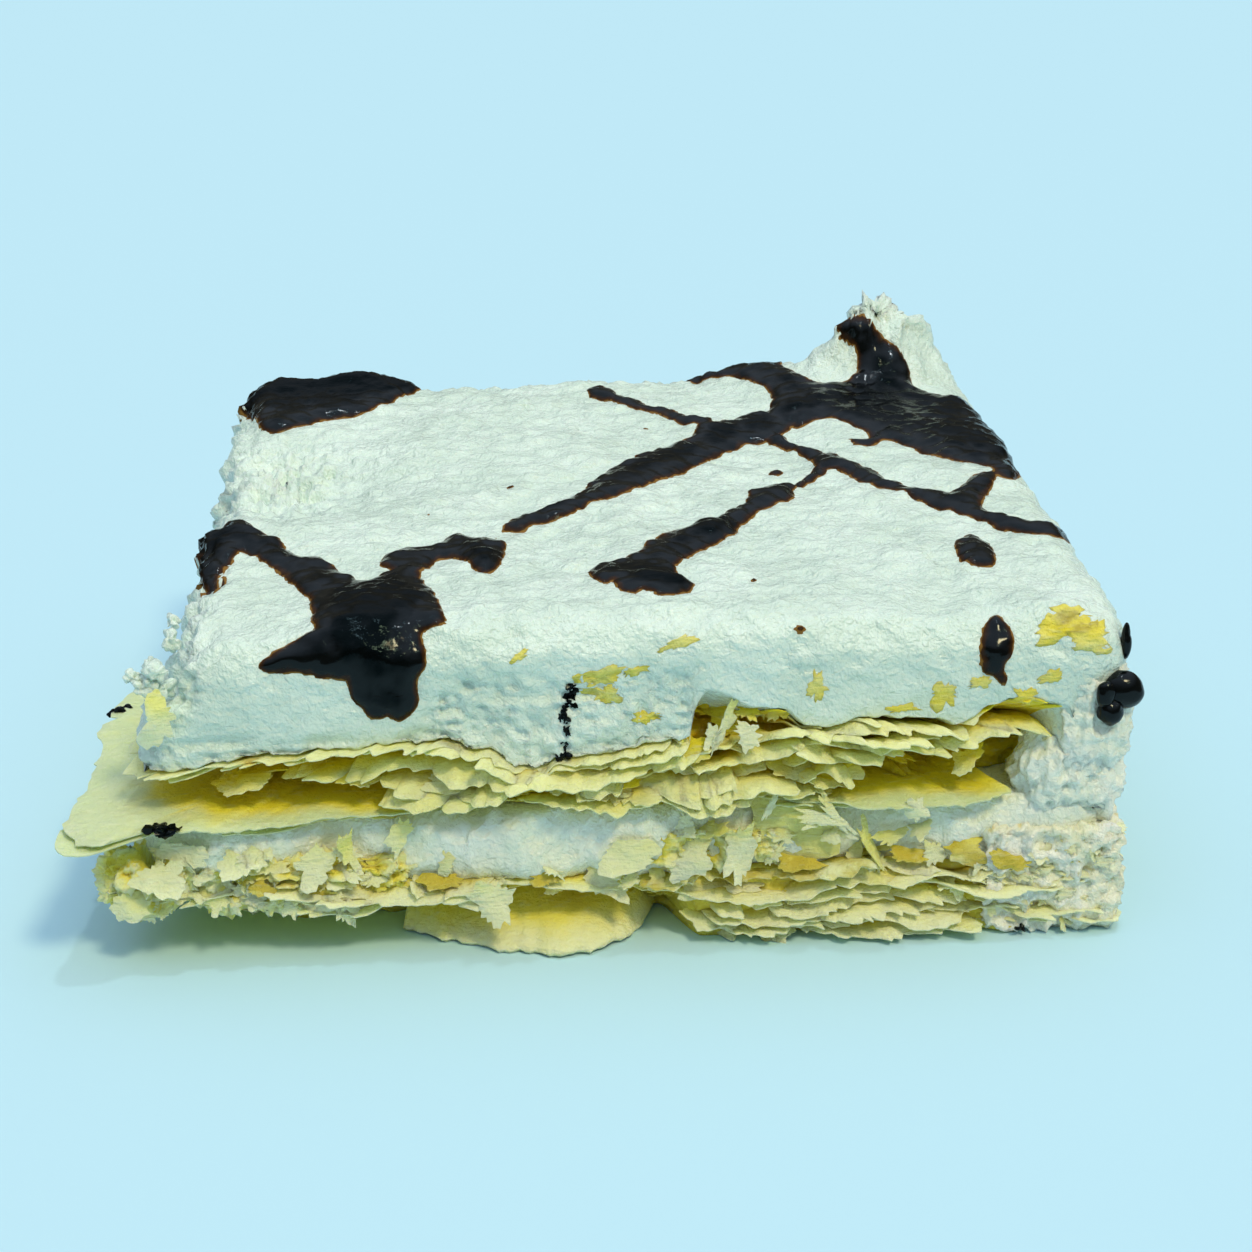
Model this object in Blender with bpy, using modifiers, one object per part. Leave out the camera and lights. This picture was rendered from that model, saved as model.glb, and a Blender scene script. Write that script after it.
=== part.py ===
# A mille feuille slice: two layers of puff pastry with cream between them, under a
# thick cream topping that carries a chocolate drizzle.
# Lengths are in millimetres until a point is stored, and the front is at -Y.
import math
import random

import bmesh
import bpy
from mathutils import Vector, noise

MM = 0.001

# Driving dimensions of the slab, whose own plan is centred on x = 0, y = 0
SLAB_WIDTH = 101.0
SLAB_DEPTH = 93.0
CORNER_PULL = 0.05
LOWER_PASTRY_TOP = 8.0
FILLING_TOP = 15.5
UPPER_PASTRY_TOP = 24.0
CREAM_TOP = 38.0
CREAM_RIM_RADIUS = 5.0

# The broad left end makes the footprint's middle lie beside the slab's middle.
SLAB_MIDDLE = (4.9, 1.0)
LEFT_SPREAD = 7.0

LAYER_GAP = 0.4
LEAF_THICKNESS = 0.8
CORE_INSET = 7.0
ROOT_INSET = 15.0
RIM_BAND = 6.0

# Points round a layer's edge, on its front, right, back and left side
SIDE_SAMPLES = (26, 9, 7, 13)

# How far the peak, the dip and the other humps of the topping stand from its level:
# x, y, radius along x, radius along y, height
HUMPS = {
    "back rise": (32.0, 46.0, 15.0, 14.0, 4.2),
    "peak left": (34.3, 43.0, 4.0, 4.8, 8.6),
    "peak right": (39.8, 42.5, 4.0, 4.8, 7.8),
    "middle crown": (0.0, 40.0, 34.0, 22.0, 1.6),
    "left dip": (-40.0, 5.0, 12.0, 13.0, -2.6),
    "left ridge": (-44.0, -15.0, 8.0, 5.0, 0.9),
    "front left sag": (-52.0, -50.0, 24.0, 22.0, -2.6),
    "front right sag": (30.0, -56.0, 60.0, 20.0, -1.2),
}

# Heights along the front face, as x and z
CREAM_BOTTOM_FRONT = (
    (-52, 19.6), (-45, 21.0), (-39, 23.0), (-28, 23.2), (-18, 22.0), (-10, 20.8),
    (-4, 21.4), (2, 24.0), (6, 28.4), (11, 27.0), (17, 25.6), (26, 26.2),
    (35, 27.4), (42, 26.4), (46, 24.6), (52, 24.0),
)

# Each leaf of pastry: its height on the hidden sides, its height along the front as
# x and z, and how far it reaches past the front face as x and y
UPPER_LEAVES = {
    "leaf under the cream": (
        22.8,
        None,
        ((-52, 1.0), (-40, 1.6), (-20, 0.8), (0, 1.4), (6, -3.0), (12, -2.0),
         (20, 1.0), (34, 0.6), (37, -2.0), (41, -11.0), (52, -11.0)),
    ),
    "second leaf": (
        21.0,
        ((-52, 17.9), (-46, 19.2), (-40, 21.1), (-30, 21.1), (-22, 19.9), (-14, 19.4),
         (-6, 18.9), (0, 20.2), (10, 21.6), (14, 22.8), (22, 22.8), (34, 23.4), (52, 21.4)),
        ((-52, -1.5), (-38, -0.5), (-32, 0.6), (-16, 1.4), (4, 0.6), (14, 1.6),
         (30, 0.8), (37, -2.0), (41, -11.0), (52, -11.0)),
    ),
    "third leaf": (
        18.9,
        ((-52, 17.2), (-34, 18.8), (-28, 17.5), (-15, 17.5), (-5, 17.5), (5, 18.5),
         (14, 18.8), (24, 19.5), (36, 20.0), (52, 18.8)),
        ((-52, -12.0), (-38, -10.0), (-31, 0.4), (-14, 1.8), (8, 0.6), (18, 1.8),
         (26, 0.2), (30, -7.0), (41, -11.0), (52, -11.0)),
    ),
    "wide bottom sheet": (
        16.6,
        ((-52, 15.9), (-30, 16.3), (0, 16.5), (20, 16.4), (52, 16.3)),
        ((-52, 8.2), (-49, 7.8), (-44, 1.6), (-26, 0.6), (-6, 1.2), (10, 0.4), (24, 1.6),
         (34, 0.2), (41, -11.0), (52, -11.0)),
    ),
}
SHEET_LEFT_REACH = 9.6

LOWER_LEAVES = {
    "browned top leaf": (
        7.0,
        ((-52, 7.0), (-20, 6.9), (10, 7.0), (30, 7.1), (52, 6.9)),
        ((-52, 0.4), (-30, 1.4), (-10, 0.6), (10, 1.6), (30, 1.0), (52, 0.6)),
    ),
    "fourth leaf": (
        5.4,
        ((-52, 5.7), (-20, 5.6), (5, 5.4), (30, 5.4), (52, 5.3)),
        ((-52, -2.0), (-36, 1.6), (-24, -3.0), (-2, -3.5), (6, 0.8), (26, 1.8), (52, 1.2)),
    ),
    "third leaf": (
        3.9,
        ((-52, 4.3), (-20, 4.2), (5, 3.9), (30, 3.8), (52, 3.8)),
        ((-52, 1.0), (-30, 0.6), (-22, -5.0), (0, -5.0), (6, 1.6), (24, 0.8), (52, 1.6)),
    ),
    "second leaf": (
        2.4,
        ((-52, 2.9), (-26, 2.6), (5, 2.4), (30, 2.3), (52, 2.3)),
        ((-52, -1.5), (-32, -1.0), (-24, -4.0), (2, -4.0), (8, 0.8), (30, 1.8), (52, 0.8)),
    ),
    "sole": (
        0.8,
        ((-52, 1.2), (-26, 0.9), (0, 0.8), (52, 0.8)),
        ((-52, -6.0), (-27, -6.0), (-23, 0.6), (-15, 3.0), (-6, 2.8), (-2, -1.0),
         (2, -6.0), (6, 0.4), (30, 1.2), (52, 0.4)),
    ),
}

# The drizzle on the topping laid flat: x, distance from the slab's middle towards the
# back, and half the width of the chocolate there. Past the front rim a stroke runs on
# down the front face.
STROKES = {
    "back left lobe": ((-45, 30, 3.6), (-44.5, 36, 4.4), (-41, 38, 3.6)),
    "back left band": ((-41, 35, 3.6), (-36, 37.5, 4.8), (-31, 41, 5.0), (-28, 44, 2.6)),
    "long stroke": (
        (-16, -19.5, 0.6), (-12, -15, 1.3), (-5, -5.5, 2.3), (3, 6, 3.5), (11, 16, 4.5),
        (19, 24, 5.2), (27, 31, 6.0),
    ),
    "thin arm": ((-2, 41, 1.8), (3, 34.5, 1.6), (8, 28, 1.8), (14, 21, 3.0)),
    "back band": ((14, 44, 1.8), (19, 45, 3.4), (24, 41, 4.6), (28, 34, 6.0)),
    "right mass": (
        (31, 31, 7.0), (38, 26, 8.0), (42.5, 18, 6.0), (45, 9, 4.2), (47, 2, 2.4),
        (48, -6, 1.0),
    ),
    "peak stroke": ((38.5, 31, 4.4), (37.8, 36, 4.2), (37, 40, 3.2)),
    "right diagonal": (
        (20.5, 14.5, 1.6), (25, 5, 1.9), (29, -2, 1.8), (35, -11, 2.5), (42, -19, 2.4),
        (47, -25, 1.4),
    ),
    "right spur": ((37, -11, 2.2), (41, -7, 2.4), (45, 0, 1.8)),
    "middle drop": (
        (24.5, 2.5, 0.8), (21, -1.5, 0.8), (17, -7, 2.2), (10, -17, 2.0), (5, -24, 2.6),
        (-0.5, -34, 3.0),
    ),
    "middle foot": ((-5.5, -35.5, 1.3), (-1, -36, 2.6), (3.5, -38.5, 1.4)),
    "right spot": ((37, -26.5, 1.3), (36.8, -29, 1.9), (36.4, -31.5, 1.3)),
    "left leg": ((-45.4, -13, 1.4), (-45.8, -20, 1.9), (-46, -27, 1.7), (-46, -33, 0.9)),
    "left arm": ((-45, -14, 1.6), (-41, -22.5, 2.5), (-36, -30, 3.0), (-32, -37, 4.8)),
    "front flow": ((-30, -35.5, 5.2), (-30.5, -42, 6.6), (-30.5, -47.5, 6.6), (-29.2, -55.5, 3.4)),
    "front tip": ((-34, -47.2, 2.4), (-38.5, -48.2, 1.8), (-41.5, -48.8, 1.0)),
    "front arm": ((-29, -36, 3.6), (-26, -28.5, 2.8), (-21, -24.5, 2.4), (-18, -28.5, 2.6)),
    "front right drip": ((35.9, -45, 1.0), (35.6, -48.5, 1.7), (35.3, -52.3, 1.4)),
}
STROKE_STEP = 3.0
STROKE_BEVEL_RESOLUTION = 1
STROKE_HEIGHT = 2.0
STROKE_SINK = 0.6

# Drops of chocolate on the front right corner: x, y, z, radius
CORNER_DROPS = ((48.6, -43.8, 29.2, 2.5), (46.6, -45.2, 26.6, 1.6))

MATERIALS = {
    "cream": ((0.80, 0.84, 0.80), 0.55),
    "pastry": ((0.83, 0.78, 0.42), 0.60),
    "browned_pastry": ((0.80, 0.68, 0.30), 0.60),
}


def clear_scene():
    for obj in list(bpy.data.objects):
        bpy.data.objects.remove(obj, do_unlink=True)


def make_material(name):
    colour, roughness = MATERIALS[name]
    material = bpy.data.materials.new(name)
    material.use_nodes = True
    shader = material.node_tree.nodes["Principled BSDF"]
    shader.inputs["Base Color"].default_value = (*colour, 1.0)
    shader.inputs["Roughness"].default_value = roughness
    shader.inputs["Metallic"].default_value = 0.0
    return material


def smooth_share(value):
    value = min(1.0, max(0.0, value))
    return value * value * (3 - 2 * value)


def read_along(points, x):
    """The value at x on a line through (x, value) points, eased from each to the next."""
    if x <= points[0][0]:
        return points[0][1]
    for (x0, value0), (x1, value1) in zip(points, points[1:]):
        if x <= x1:
            return value0 + (value1 - value0) * smooth_share((x - x0) / (x1 - x0))
    return points[-1][1]


def ripple(x, y, size, seed):
    """Smooth noise from about -1 to 1, with bumps of this size."""
    return 2 * noise.noise(Vector((x / size, y / size, 3.7 * seed)))


def edge_of_square(turn):
    """A point on the unit square's edge. turn runs from 0 to 4: front, right, back, left."""
    side, along = int(turn) % 4, 2 * (turn % 1) - 1
    return ((along, -1), (1, along), (-along, 1), (-1, -along))[side]


def plan(a, b):
    """Where a point of the unit square lies in the slab's plan, which has soft corners."""
    return (
        SLAB_WIDTH / 2 * a * (1 - CORNER_PULL * b**8),
        SLAB_DEPTH / 2 * b * (1 - CORNER_PULL * a**8),
    )


def inset_point(turn, inset):
    """A point this far inside the slab's outline, on the line towards its middle."""
    x, y = plan(*edge_of_square(turn))
    share = 1 - inset / (SLAB_DEPTH / 2)
    return x * share, y * share


def front_share(y):
    """1 on the front face, and 0 from 14 mm behind it."""
    return smooth_share((-SLAB_DEPTH / 2 + 14 - y) / 14)


def top_height(x, y):
    """The topping's upper surface, without its rounded rim."""
    z = CREAM_TOP + 0.5 * ripple(x, y, 21, 1) + 0.25 * ripple(x, y, 8, 2)
    for centre_x, centre_y, radius_x, radius_y, height in HUMPS.values():
        away = ((x - centre_x) / radius_x) ** 2 + ((y - centre_y) / radius_y) ** 2
        z += height * math.exp(-away)
    return z


def cream_bottom(turn, inset):
    """The underside of the topping: flat inside, and uneven in a band along its rim."""
    x, y = inset_point(turn, 0)
    side = UPPER_PASTRY_TOP - 0.4 + 0.9 * ripple(x, y, 13, 3)
    front = read_along(CREAM_BOTTOM_FRONT, x)
    rim = side + (front - side) * front_share(y)
    return UPPER_PASTRY_TOP + (rim - UPPER_PASTRY_TOP) * max(0.0, 1 - inset / RIM_BAND)


def left_spread(x, y):
    """How far the lower layers stand out past the slab's left side at this place."""
    share = max(0.0, -x / (SLAB_WIDTH / 2)) ** 3
    return LEFT_SPREAD * share * (0.4 + 0.6 * smooth_share((20 - y) / 50))


def new_object(name, bm, material_name):
    bmesh.ops.recalc_face_normals(bm, faces=bm.faces)
    if bm.calc_volume(signed=True) < 0:
        bmesh.ops.reverse_faces(bm, faces=bm.faces)
    mesh = bpy.data.meshes.new(name)
    bm.to_mesh(mesh)
    bm.free()
    obj = bpy.data.objects.new(name, mesh)
    mesh.materials.append(make_material(material_name))
    return obj


def turn_at(index, counts):
    """The turn of a layer's point with this number, spread by the counts for each side."""
    for side, count in enumerate(counts):
        if index < count:
            return side + (index + 0.5) / count
        index -= count


def add_rings(bm, edges, count):
    """Extrudes an edge loop this many times, each ring one unit below the last."""
    for _ in range(count):
        made = bmesh.ops.extrude_edge_only(bm, edges=edges)["geom"]
        fresh = [g for g in made if isinstance(g, bmesh.types.BMVert)]
        bmesh.ops.translate(bm, verts=fresh, vec=(0, 0, -1))
        edges = [g for g in made if isinstance(g, bmesh.types.BMEdge) and g.is_boundary]
    return edges


def make_rings(rings, solid):
    """A surface through rings of points that all have the same number of points. It is
    a circle extruded ring by ring, and a solid has both its ends filled."""
    count = len(rings[0])
    bm = bmesh.new()
    bmesh.ops.create_circle(bm, segments=count, radius=1, cap_ends=solid)
    last = add_rings(bm, list(bm.edges), len(rings) - 1)
    if solid:
        bmesh.ops.contextual_create(bm, geom=last)
    for vert in bm.verts:
        angle = math.atan2(-vert.co.x, vert.co.y)
        index = round(angle / (2 * math.pi) * count) % count
        vert.co = Vector(rings[round(-vert.co.z)][index]) * MM
    return bm


def cream_point(a, b, level, levels):
    """Where a point of the topping's mesh lies: level 0 is the top, and the last is the
    flat underside's rim."""
    turn_inset = CREAM_RIM_RADIUS
    cap = 1 - turn_inset / (SLAB_DEPTH / 2)
    x, y = plan(a, b)
    top_x, top_y = x * cap, y * cap
    top = top_height(top_x, top_y)
    if level == 0:
        return top_x, top_y, top
    kind, value = levels[level]
    inset = value if kind == "under" else 0.0
    if kind == "arc":
        angle = value * math.pi / 2
        inset = turn_inset * (1 - math.sin(angle))
        z = top - turn_inset * (1 - math.cos(angle))
    else:
        bottom = cream_bottom(square_turn(a, b), inset)
        side_top = top - turn_inset
        z = bottom if kind == "under" else side_top + (bottom - side_top) * value
    bulge = 0.5 * ripple(x + z, y, 9, 4) if kind == "side" else 0.0
    share = 1 - (inset - bulge) / (SLAB_DEPTH / 2)
    return x * share, y * share, z


def square_turn(a, b):
    """The turn of edge_of_square for a point on the unit square's edge."""
    if b <= -1:
        return (a + 1) / 2
    if a >= 1:
        return 1 + (b + 1) / 2
    if b >= 1:
        return 2 + (1 - a) / 2
    return 3 + (1 - b) / 2


def make_cream_body():
    """The topping without its chocolate: a grid for the top, then rings round the rim,
    down the sides and in under the rim."""
    levels = [("top", 0)] + [("arc", v) for v in (0.5, 1.0)]
    levels += [("side", v) for v in (0.5, 1.0)] + [("under", RIM_BAND)]
    bm = bmesh.new()
    bmesh.ops.create_grid(bm, x_segments=27, y_segments=25, size=1)
    for vert in bm.verts:
        vert.co.x, vert.co.y = round(vert.co.x, 5), round(vert.co.y, 5)
    edge = [e for e in bm.edges if e.is_boundary]
    bmesh.ops.contextual_create(bm, geom=add_rings(bm, edge, len(levels) - 1))
    for vert in bm.verts:
        a, b, depth = vert.co
        vert.co = Vector(cream_point(a, b, round(-depth), levels)) * MM
    return new_object("cream_topping", bm, "cream")


def drape(x, along, height):
    """A point this high off the topping, for a place on the topping laid flat."""
    cap = 1 - CREAM_RIM_RADIUS / (SLAB_DEPTH / 2)
    front = -SLAB_DEPTH / 2
    rim_start = front * cap
    if along >= rim_start:
        return x, along, top_height(x, along) + height
    over = rim_start - along
    angle = min(over / CREAM_RIM_RADIUS, math.pi / 2)
    down = max(0.0, over - CREAM_RIM_RADIUS * math.pi / 2)
    radius = CREAM_RIM_RADIUS + height
    share = 1 - (CREAM_RIM_RADIUS - radius * math.sin(angle)) / (SLAB_DEPTH / 2)
    edge_height = top_height(x * cap / share, rim_start)
    z = edge_height - CREAM_RIM_RADIUS + radius * math.cos(angle) - down
    return x, front * share, z


def spline_points(points, step):
    """Points at about this step on a smooth curve through the given ones."""
    ends = [points[0], *points, points[-1]]
    made = []
    for p0, p1, p2, p3 in zip(ends, ends[1:], ends[2:], ends[3:]):
        count = max(1, round(math.dist(p1[:2], p2[:2]) / step))
        for i in range(count):
            t = i / count
            made.append(
                tuple(
                    0.5 * (2 * q1 + (q2 - q0) * t + (2 * q0 - 5 * q1 + 4 * q2 - q3) * t**2
                           + (3 * q1 - q0 - 3 * q2 + q3) * t**3)
                    for q0, q1, q2, q3 in zip(p0, p1, p2, p3)
                )
            )
    return [*made, points[-1]]


def make_stroke(name, points):
    """A ribbon of chocolate: a round tube laid flat, then draped over the topping with
    its upper half eased to an even height."""
    curve = bpy.data.curves.new(name, "CURVE")
    curve.dimensions = "3D"
    curve.bevel_depth = 1.0
    curve.bevel_resolution = STROKE_BEVEL_RESOLUTION
    curve.use_fill_caps = True
    route = spline_points(points, STROKE_STEP)
    spline = curve.splines.new("POLY")
    spline.points.add(len(route) - 1)
    for point, (x, y, half_width) in zip(spline.points, route):
        point.co = (x, y, 0, 1)
        point.radius = max(0.4, half_width)
    guide = bpy.data.objects.new(name, curve)
    bpy.context.scene.collection.objects.link(guide)
    graph = bpy.context.evaluated_depsgraph_get()
    mesh = bpy.data.meshes.new_from_object(guide.evaluated_get(graph))
    bpy.data.objects.remove(guide)
    bm = bmesh.new()
    bm.from_mesh(mesh)
    bmesh.ops.remove_doubles(bm, verts=bm.verts, dist=0.01)
    for vert in bm.verts:
        x, y, up = vert.co
        if up > 0:
            height = STROKE_HEIGHT * (1 - math.exp(-up / STROKE_HEIGHT)) - STROKE_SINK
        else:
            height = 0.3 * up - STROKE_SINK
        vert.co = Vector(drape(x, y, height)) * MM
    return new_object(name, bm, "cream")


def make_corner_drop(place):
    x, y, z, radius = place
    bm = bmesh.new()
    bmesh.ops.create_icosphere(bm, subdivisions=2, radius=radius * MM)
    bmesh.ops.scale(bm, verts=bm.verts, vec=(1.0, 0.8, 1.1))
    bmesh.ops.translate(bm, verts=bm.verts, vec=Vector((x, y, z)) * MM)
    return new_object("corner drop", bm, "cream")


def keep_largest_piece(mesh):
    """Fills any hollow that a union has sealed, and drops any loose scrap."""
    bm = bmesh.new()
    bm.from_mesh(mesh)
    pieces = []
    left = set(bm.verts)
    while left:
        piece = set()
        edge = [left.pop()]
        while edge:
            vert = edge.pop()
            piece.add(vert)
            for link in vert.link_edges:
                other = link.other_vert(vert)
                if other in left:
                    left.remove(other)
                    edge.append(other)
        pieces.append(piece)
    pieces.sort(key=len)
    scraps = [vert for piece in pieces[:-1] for vert in piece]
    bmesh.ops.delete(bm, geom=scraps, context="VERTS")
    bm.to_mesh(mesh)
    bm.free()


def join_pieces(body, pieces, solver="EXACT"):
    """Fuses pieces onto a body with one Boolean union, and removes them."""
    bpy.context.scene.collection.objects.link(body)
    group = bpy.data.collections.new(body.name + " pieces")
    bpy.context.scene.collection.children.link(group)
    for piece in pieces:
        group.objects.link(piece)
    union = body.modifiers.new("union", "BOOLEAN")
    union.operation = "UNION"
    union.operand_type = "COLLECTION"
    union.collection = group
    union.solver = solver
    graph = bpy.context.evaluated_depsgraph_get()
    joined = bpy.data.meshes.new_from_object(body.evaluated_get(graph))
    keep_largest_piece(joined)
    body.modifiers.clear()
    body.data = joined
    for piece in list(group.objects):
        bpy.data.objects.remove(piece)
    bpy.data.collections.remove(group)
    return body


def make_cream_topping():
    pieces = [make_stroke(name, points) for name, points in STROKES.items()]
    pieces += [make_corner_drop(place) for place in CORNER_DROPS]
    return join_pieces(make_cream_body(), pieces)


def left_gap(x, y):
    """1 along the front half of the left side, where a gap shows over the wide sheet."""
    return smooth_share((-x - 36) / 10) * smooth_share((-6 - y) / 14)


def make_leaf(name, heights, seed, ceiling=None, left_reach=0.0, gap_pull=0.0, spread=False):
    """A hoop of pastry leaf: ragged at its outer edge, and rooted in the core."""
    side_height, front_heights, front_reaches = heights
    clears_smear = front_reaches[-1][1] < -5
    chance = random.Random(seed)
    rings = [[], [], []]
    for i in range(sum(SIDE_SAMPLES)):
        turn = turn_at(i, SIDE_SAMPLES) + 0.006 * chance.uniform(-1, 1)
        x, y = inset_point(turn, 0)
        front = front_share(y)
        reach = 0.6 + 0.9 * ripple(x, y, 11, seed)
        reach += left_reach * smooth_share((-x - 44) / 6) * smooth_share(-y / 14)
        reach += (read_along(front_reaches, x) - reach) * front
        if clears_smear and x > 0:
            reach -= (11 + reach) * smooth_share((-y - 30) / 7) * (1 - front)
        reach -= gap_pull * left_gap(x, y)
        reach = max(-12.0, reach + chance.uniform(-0.9, 0.9))
        z = side_height + 0.5 * ripple(x, y, 16, seed + 20)
        if front_heights:
            z += (read_along(front_heights, x) - z) * front
        z += 0.15 * chance.uniform(-1, 1)
        z = max(z, LEAF_THICKNESS / 2 + 0.05)
        if ceiling:
            inset = max(0.0, -reach)
            lowest = min(ceiling(turn + step, inset) for step in (-0.045, 0.0, 0.045))
            z = lowest - LAYER_GAP - LEAF_THICKNESS
        places = ((-reach, z), (max(-reach + 0.5, RIM_BAND), side_height), (ROOT_INSET, side_height))
        for ring, (inset, height) in zip(rings, places):
            px, py = inset_point(turn, inset)
            if spread:
                px -= left_spread(px, py)
            ring.append((px, py, height))
    leaf = new_object(name, make_rings(rings, solid=False), "pastry")
    thickness = leaf.modifiers.new("thickness", "SOLIDIFY")
    thickness.thickness = LEAF_THICKNESS * MM
    thickness.offset = 0.0
    return leaf


def make_core(name, bottom, top, material_name, inset_at, spread=False):
    """The solid middle of a layer, set back from its edge by inset_at(x, y)."""
    counts = (10, 8, 6, 8)
    outline = []
    for i in range(sum(counts)):
        turn = turn_at(i, counts)
        x, y = inset_point(turn, inset_at(*inset_point(turn, 0)))
        outline.append((x - left_spread(x, y) if spread else x, y))
    rings = [[(x, y, z) for x, y in outline] for z in (bottom, top)]
    return new_object(name, make_rings(rings, solid=True), material_name)


def upper_core_inset(x, y):
    """Set back deeply behind the gap at the front left and the hole at the front right."""
    front = front_share(y)
    front_gap = smooth_share((-x - 8) / 14) * front
    right_hole = smooth_share((x - 24) / 8) * front
    pull = max(front_gap, right_hole, left_gap(x, y))
    return CORE_INSET + 0.6 * ripple(x, y, 12, 31) + 3.5 * pull


def lower_core_inset(x, y):
    return CORE_INSET + 0.6 * ripple(x, y, 12, 41)


def make_upper_pastry():
    core = make_core(
        "upper_pastry", FILLING_TOP + LAYER_GAP, UPPER_PASTRY_TOP - LAYER_GAP,
        "pastry", upper_core_inset,
    )
    under_cream, second, third, sheet = UPPER_LEAVES
    leaves = [
        make_leaf(under_cream, UPPER_LEAVES[under_cream], 51, ceiling=cream_bottom),
        make_leaf(second, UPPER_LEAVES[second], 52, gap_pull=2.5),
        make_leaf(third, UPPER_LEAVES[third], 53, gap_pull=12.0),
        make_leaf(sheet, UPPER_LEAVES[sheet], 54, left_reach=SHEET_LEFT_REACH),
    ]
    return join_pieces(core, leaves)


def make_lower_pastry():
    core = make_core(
        "lower_pastry", 0.0, LOWER_PASTRY_TOP - LAYER_GAP, "browned_pastry",
        lower_core_inset, spread=True,
    )
    leaves = [
        make_leaf(name, heights, seed, spread=True)
        for seed, (name, heights) in enumerate(LOWER_LEAVES.items(), start=71)
    ]
    return join_pieces(core, leaves)


def make_cream_filling():
    """The cream between the pastry layers, bulging unevenly at the cut sides."""
    low, high = LOWER_PASTRY_TOP, FILLING_TOP - LAYER_GAP
    middle = (low + high) / 2
    rows = ((low, 1.6), (low + 1.6, 0.2), (middle, -0.4), (high - 1.2, 0.6), (high, 2.2))
    rings = []
    for row, (z, inset) in enumerate(rows):
        ring = []
        for i in range(sum(SIDE_SAMPLES)):
            turn = turn_at(i, SIDE_SAMPLES)
            x, y = inset_point(turn, 0)
            uneven = 1.1 * ripple(x + 3 * row, y - 2 * row, 8, 61)
            x, y = inset_point(turn, inset + 0.6 + uneven)
            ring.append((x - left_spread(x, y), y, z))
        rings.append(ring)
    return new_object("cream_filling", make_rings(rings, solid=True), "cream")


def make_corner_smear():
    """Cream wiped over the front right corner, from the filling up to the topping."""
    low, high = FILLING_TOP - 3.0, UPPER_PASTRY_TOP - 0.6
    rows, samples = 5, 20
    rings = []
    for row in range(rows):
        share = row / (rows - 1)
        z = low + (high - low) * share
        narrowing = 0.86 if row in (0, rows - 1) else 1.0
        ring = []
        for i in range(samples):
            angle = 2 * math.pi * (i + 0.5) / samples
            across, ahead = math.cos(angle), math.sin(angle)
            squared = max(abs(across), abs(ahead)) ** 0.7
            x = 45.4 + 4.9 * narrowing * across / squared
            y = -42.2 + 3.9 * narrowing * ahead / squared
            ring.append((x + 0.5 * ripple(x, z, 4, 8), y + 0.5 * ripple(y, z, 4, 9), z))
        rings.append(ring)
    return new_object("corner smear", make_rings(rings, solid=True), "cream")


def main():
    clear_scene()
    slice_group = bpy.data.collections.new("mille feuille slice")
    bpy.context.scene.collection.children.link(slice_group)
    filling = join_pieces(make_cream_filling(), [make_corner_smear()])
    middle = bpy.data.objects.new("slab middle", None)
    middle.location = (SLAB_MIDDLE[0] * MM, SLAB_MIDDLE[1] * MM, 0)
    slice_group.objects.link(middle)
    for obj in (make_lower_pastry(), filling, make_upper_pastry(), make_cream_topping()):
        bpy.context.scene.collection.objects.unlink(obj)
        slice_group.objects.link(obj)
        obj.parent = middle
        obj.data.shade_smooth()
        obj.data.set_sharp_from_angle(angle=math.radians(35))


main()
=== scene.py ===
import math

import bpy
import numpy as np
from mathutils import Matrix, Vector


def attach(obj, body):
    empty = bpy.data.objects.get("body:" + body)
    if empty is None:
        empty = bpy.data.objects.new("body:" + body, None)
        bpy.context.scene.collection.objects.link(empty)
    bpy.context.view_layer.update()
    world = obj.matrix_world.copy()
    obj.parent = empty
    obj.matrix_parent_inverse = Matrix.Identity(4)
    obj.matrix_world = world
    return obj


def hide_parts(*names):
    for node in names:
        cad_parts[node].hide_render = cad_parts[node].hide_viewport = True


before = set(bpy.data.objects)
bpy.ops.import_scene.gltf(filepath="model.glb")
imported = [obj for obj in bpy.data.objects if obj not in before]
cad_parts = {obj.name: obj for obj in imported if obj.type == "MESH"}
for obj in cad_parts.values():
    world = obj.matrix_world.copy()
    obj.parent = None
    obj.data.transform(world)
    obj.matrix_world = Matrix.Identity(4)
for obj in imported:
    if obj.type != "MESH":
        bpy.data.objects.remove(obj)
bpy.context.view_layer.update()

print("mille feuille slice: frame loaded")

mm = 0.001

# The slab's own sizes in millimetres, measured from its middle; the front is at -y.
slab = {
    "width": 101.0,
    "depth": 93.0,
    "middle": (4.9, 1.0),        # where that middle stands in the frame
    "cornerPower": 22,           # more is squarer
    "rimRadius": 5.0,
    "creamTop": 38.0,
    "upperTop": 24.0,
    "fillingTop": 15.5,
    "lowerTop": 8.0,
    "leftSpread": 7.0,           # how far the lower layers reach past the left side
    "leftLean": 4.6,             # how far the front left corner leans out at its foot
    "sideCounts": (340, 74, 54, 112),   # points on the front, right, back and left
}
halfWidth = slab["width"] / 2
halfDepth = slab["depth"] / 2
rimStart = -(halfDepth - slab["rimRadius"])
rimArc = slab["rimRadius"] * math.pi / 2


def ease(value):
    # A smooth step from 0 to 1.
    value = np.clip(value, 0.0, 1.0)
    return value * value * (3 - 2 * value)


def readAlong(points, x):
    # The height at x of a line through these points.
    return np.interp(x, [p[0] for p in points], [p[1] for p in points])


noiseTable = np.random.default_rng(11).uniform(-1, 1, 65536)
turnMatrix = np.array([[0.36, 0.48, -0.8], [-0.8, 0.6, 0.0], [0.48, 0.64, 0.6]])


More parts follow.
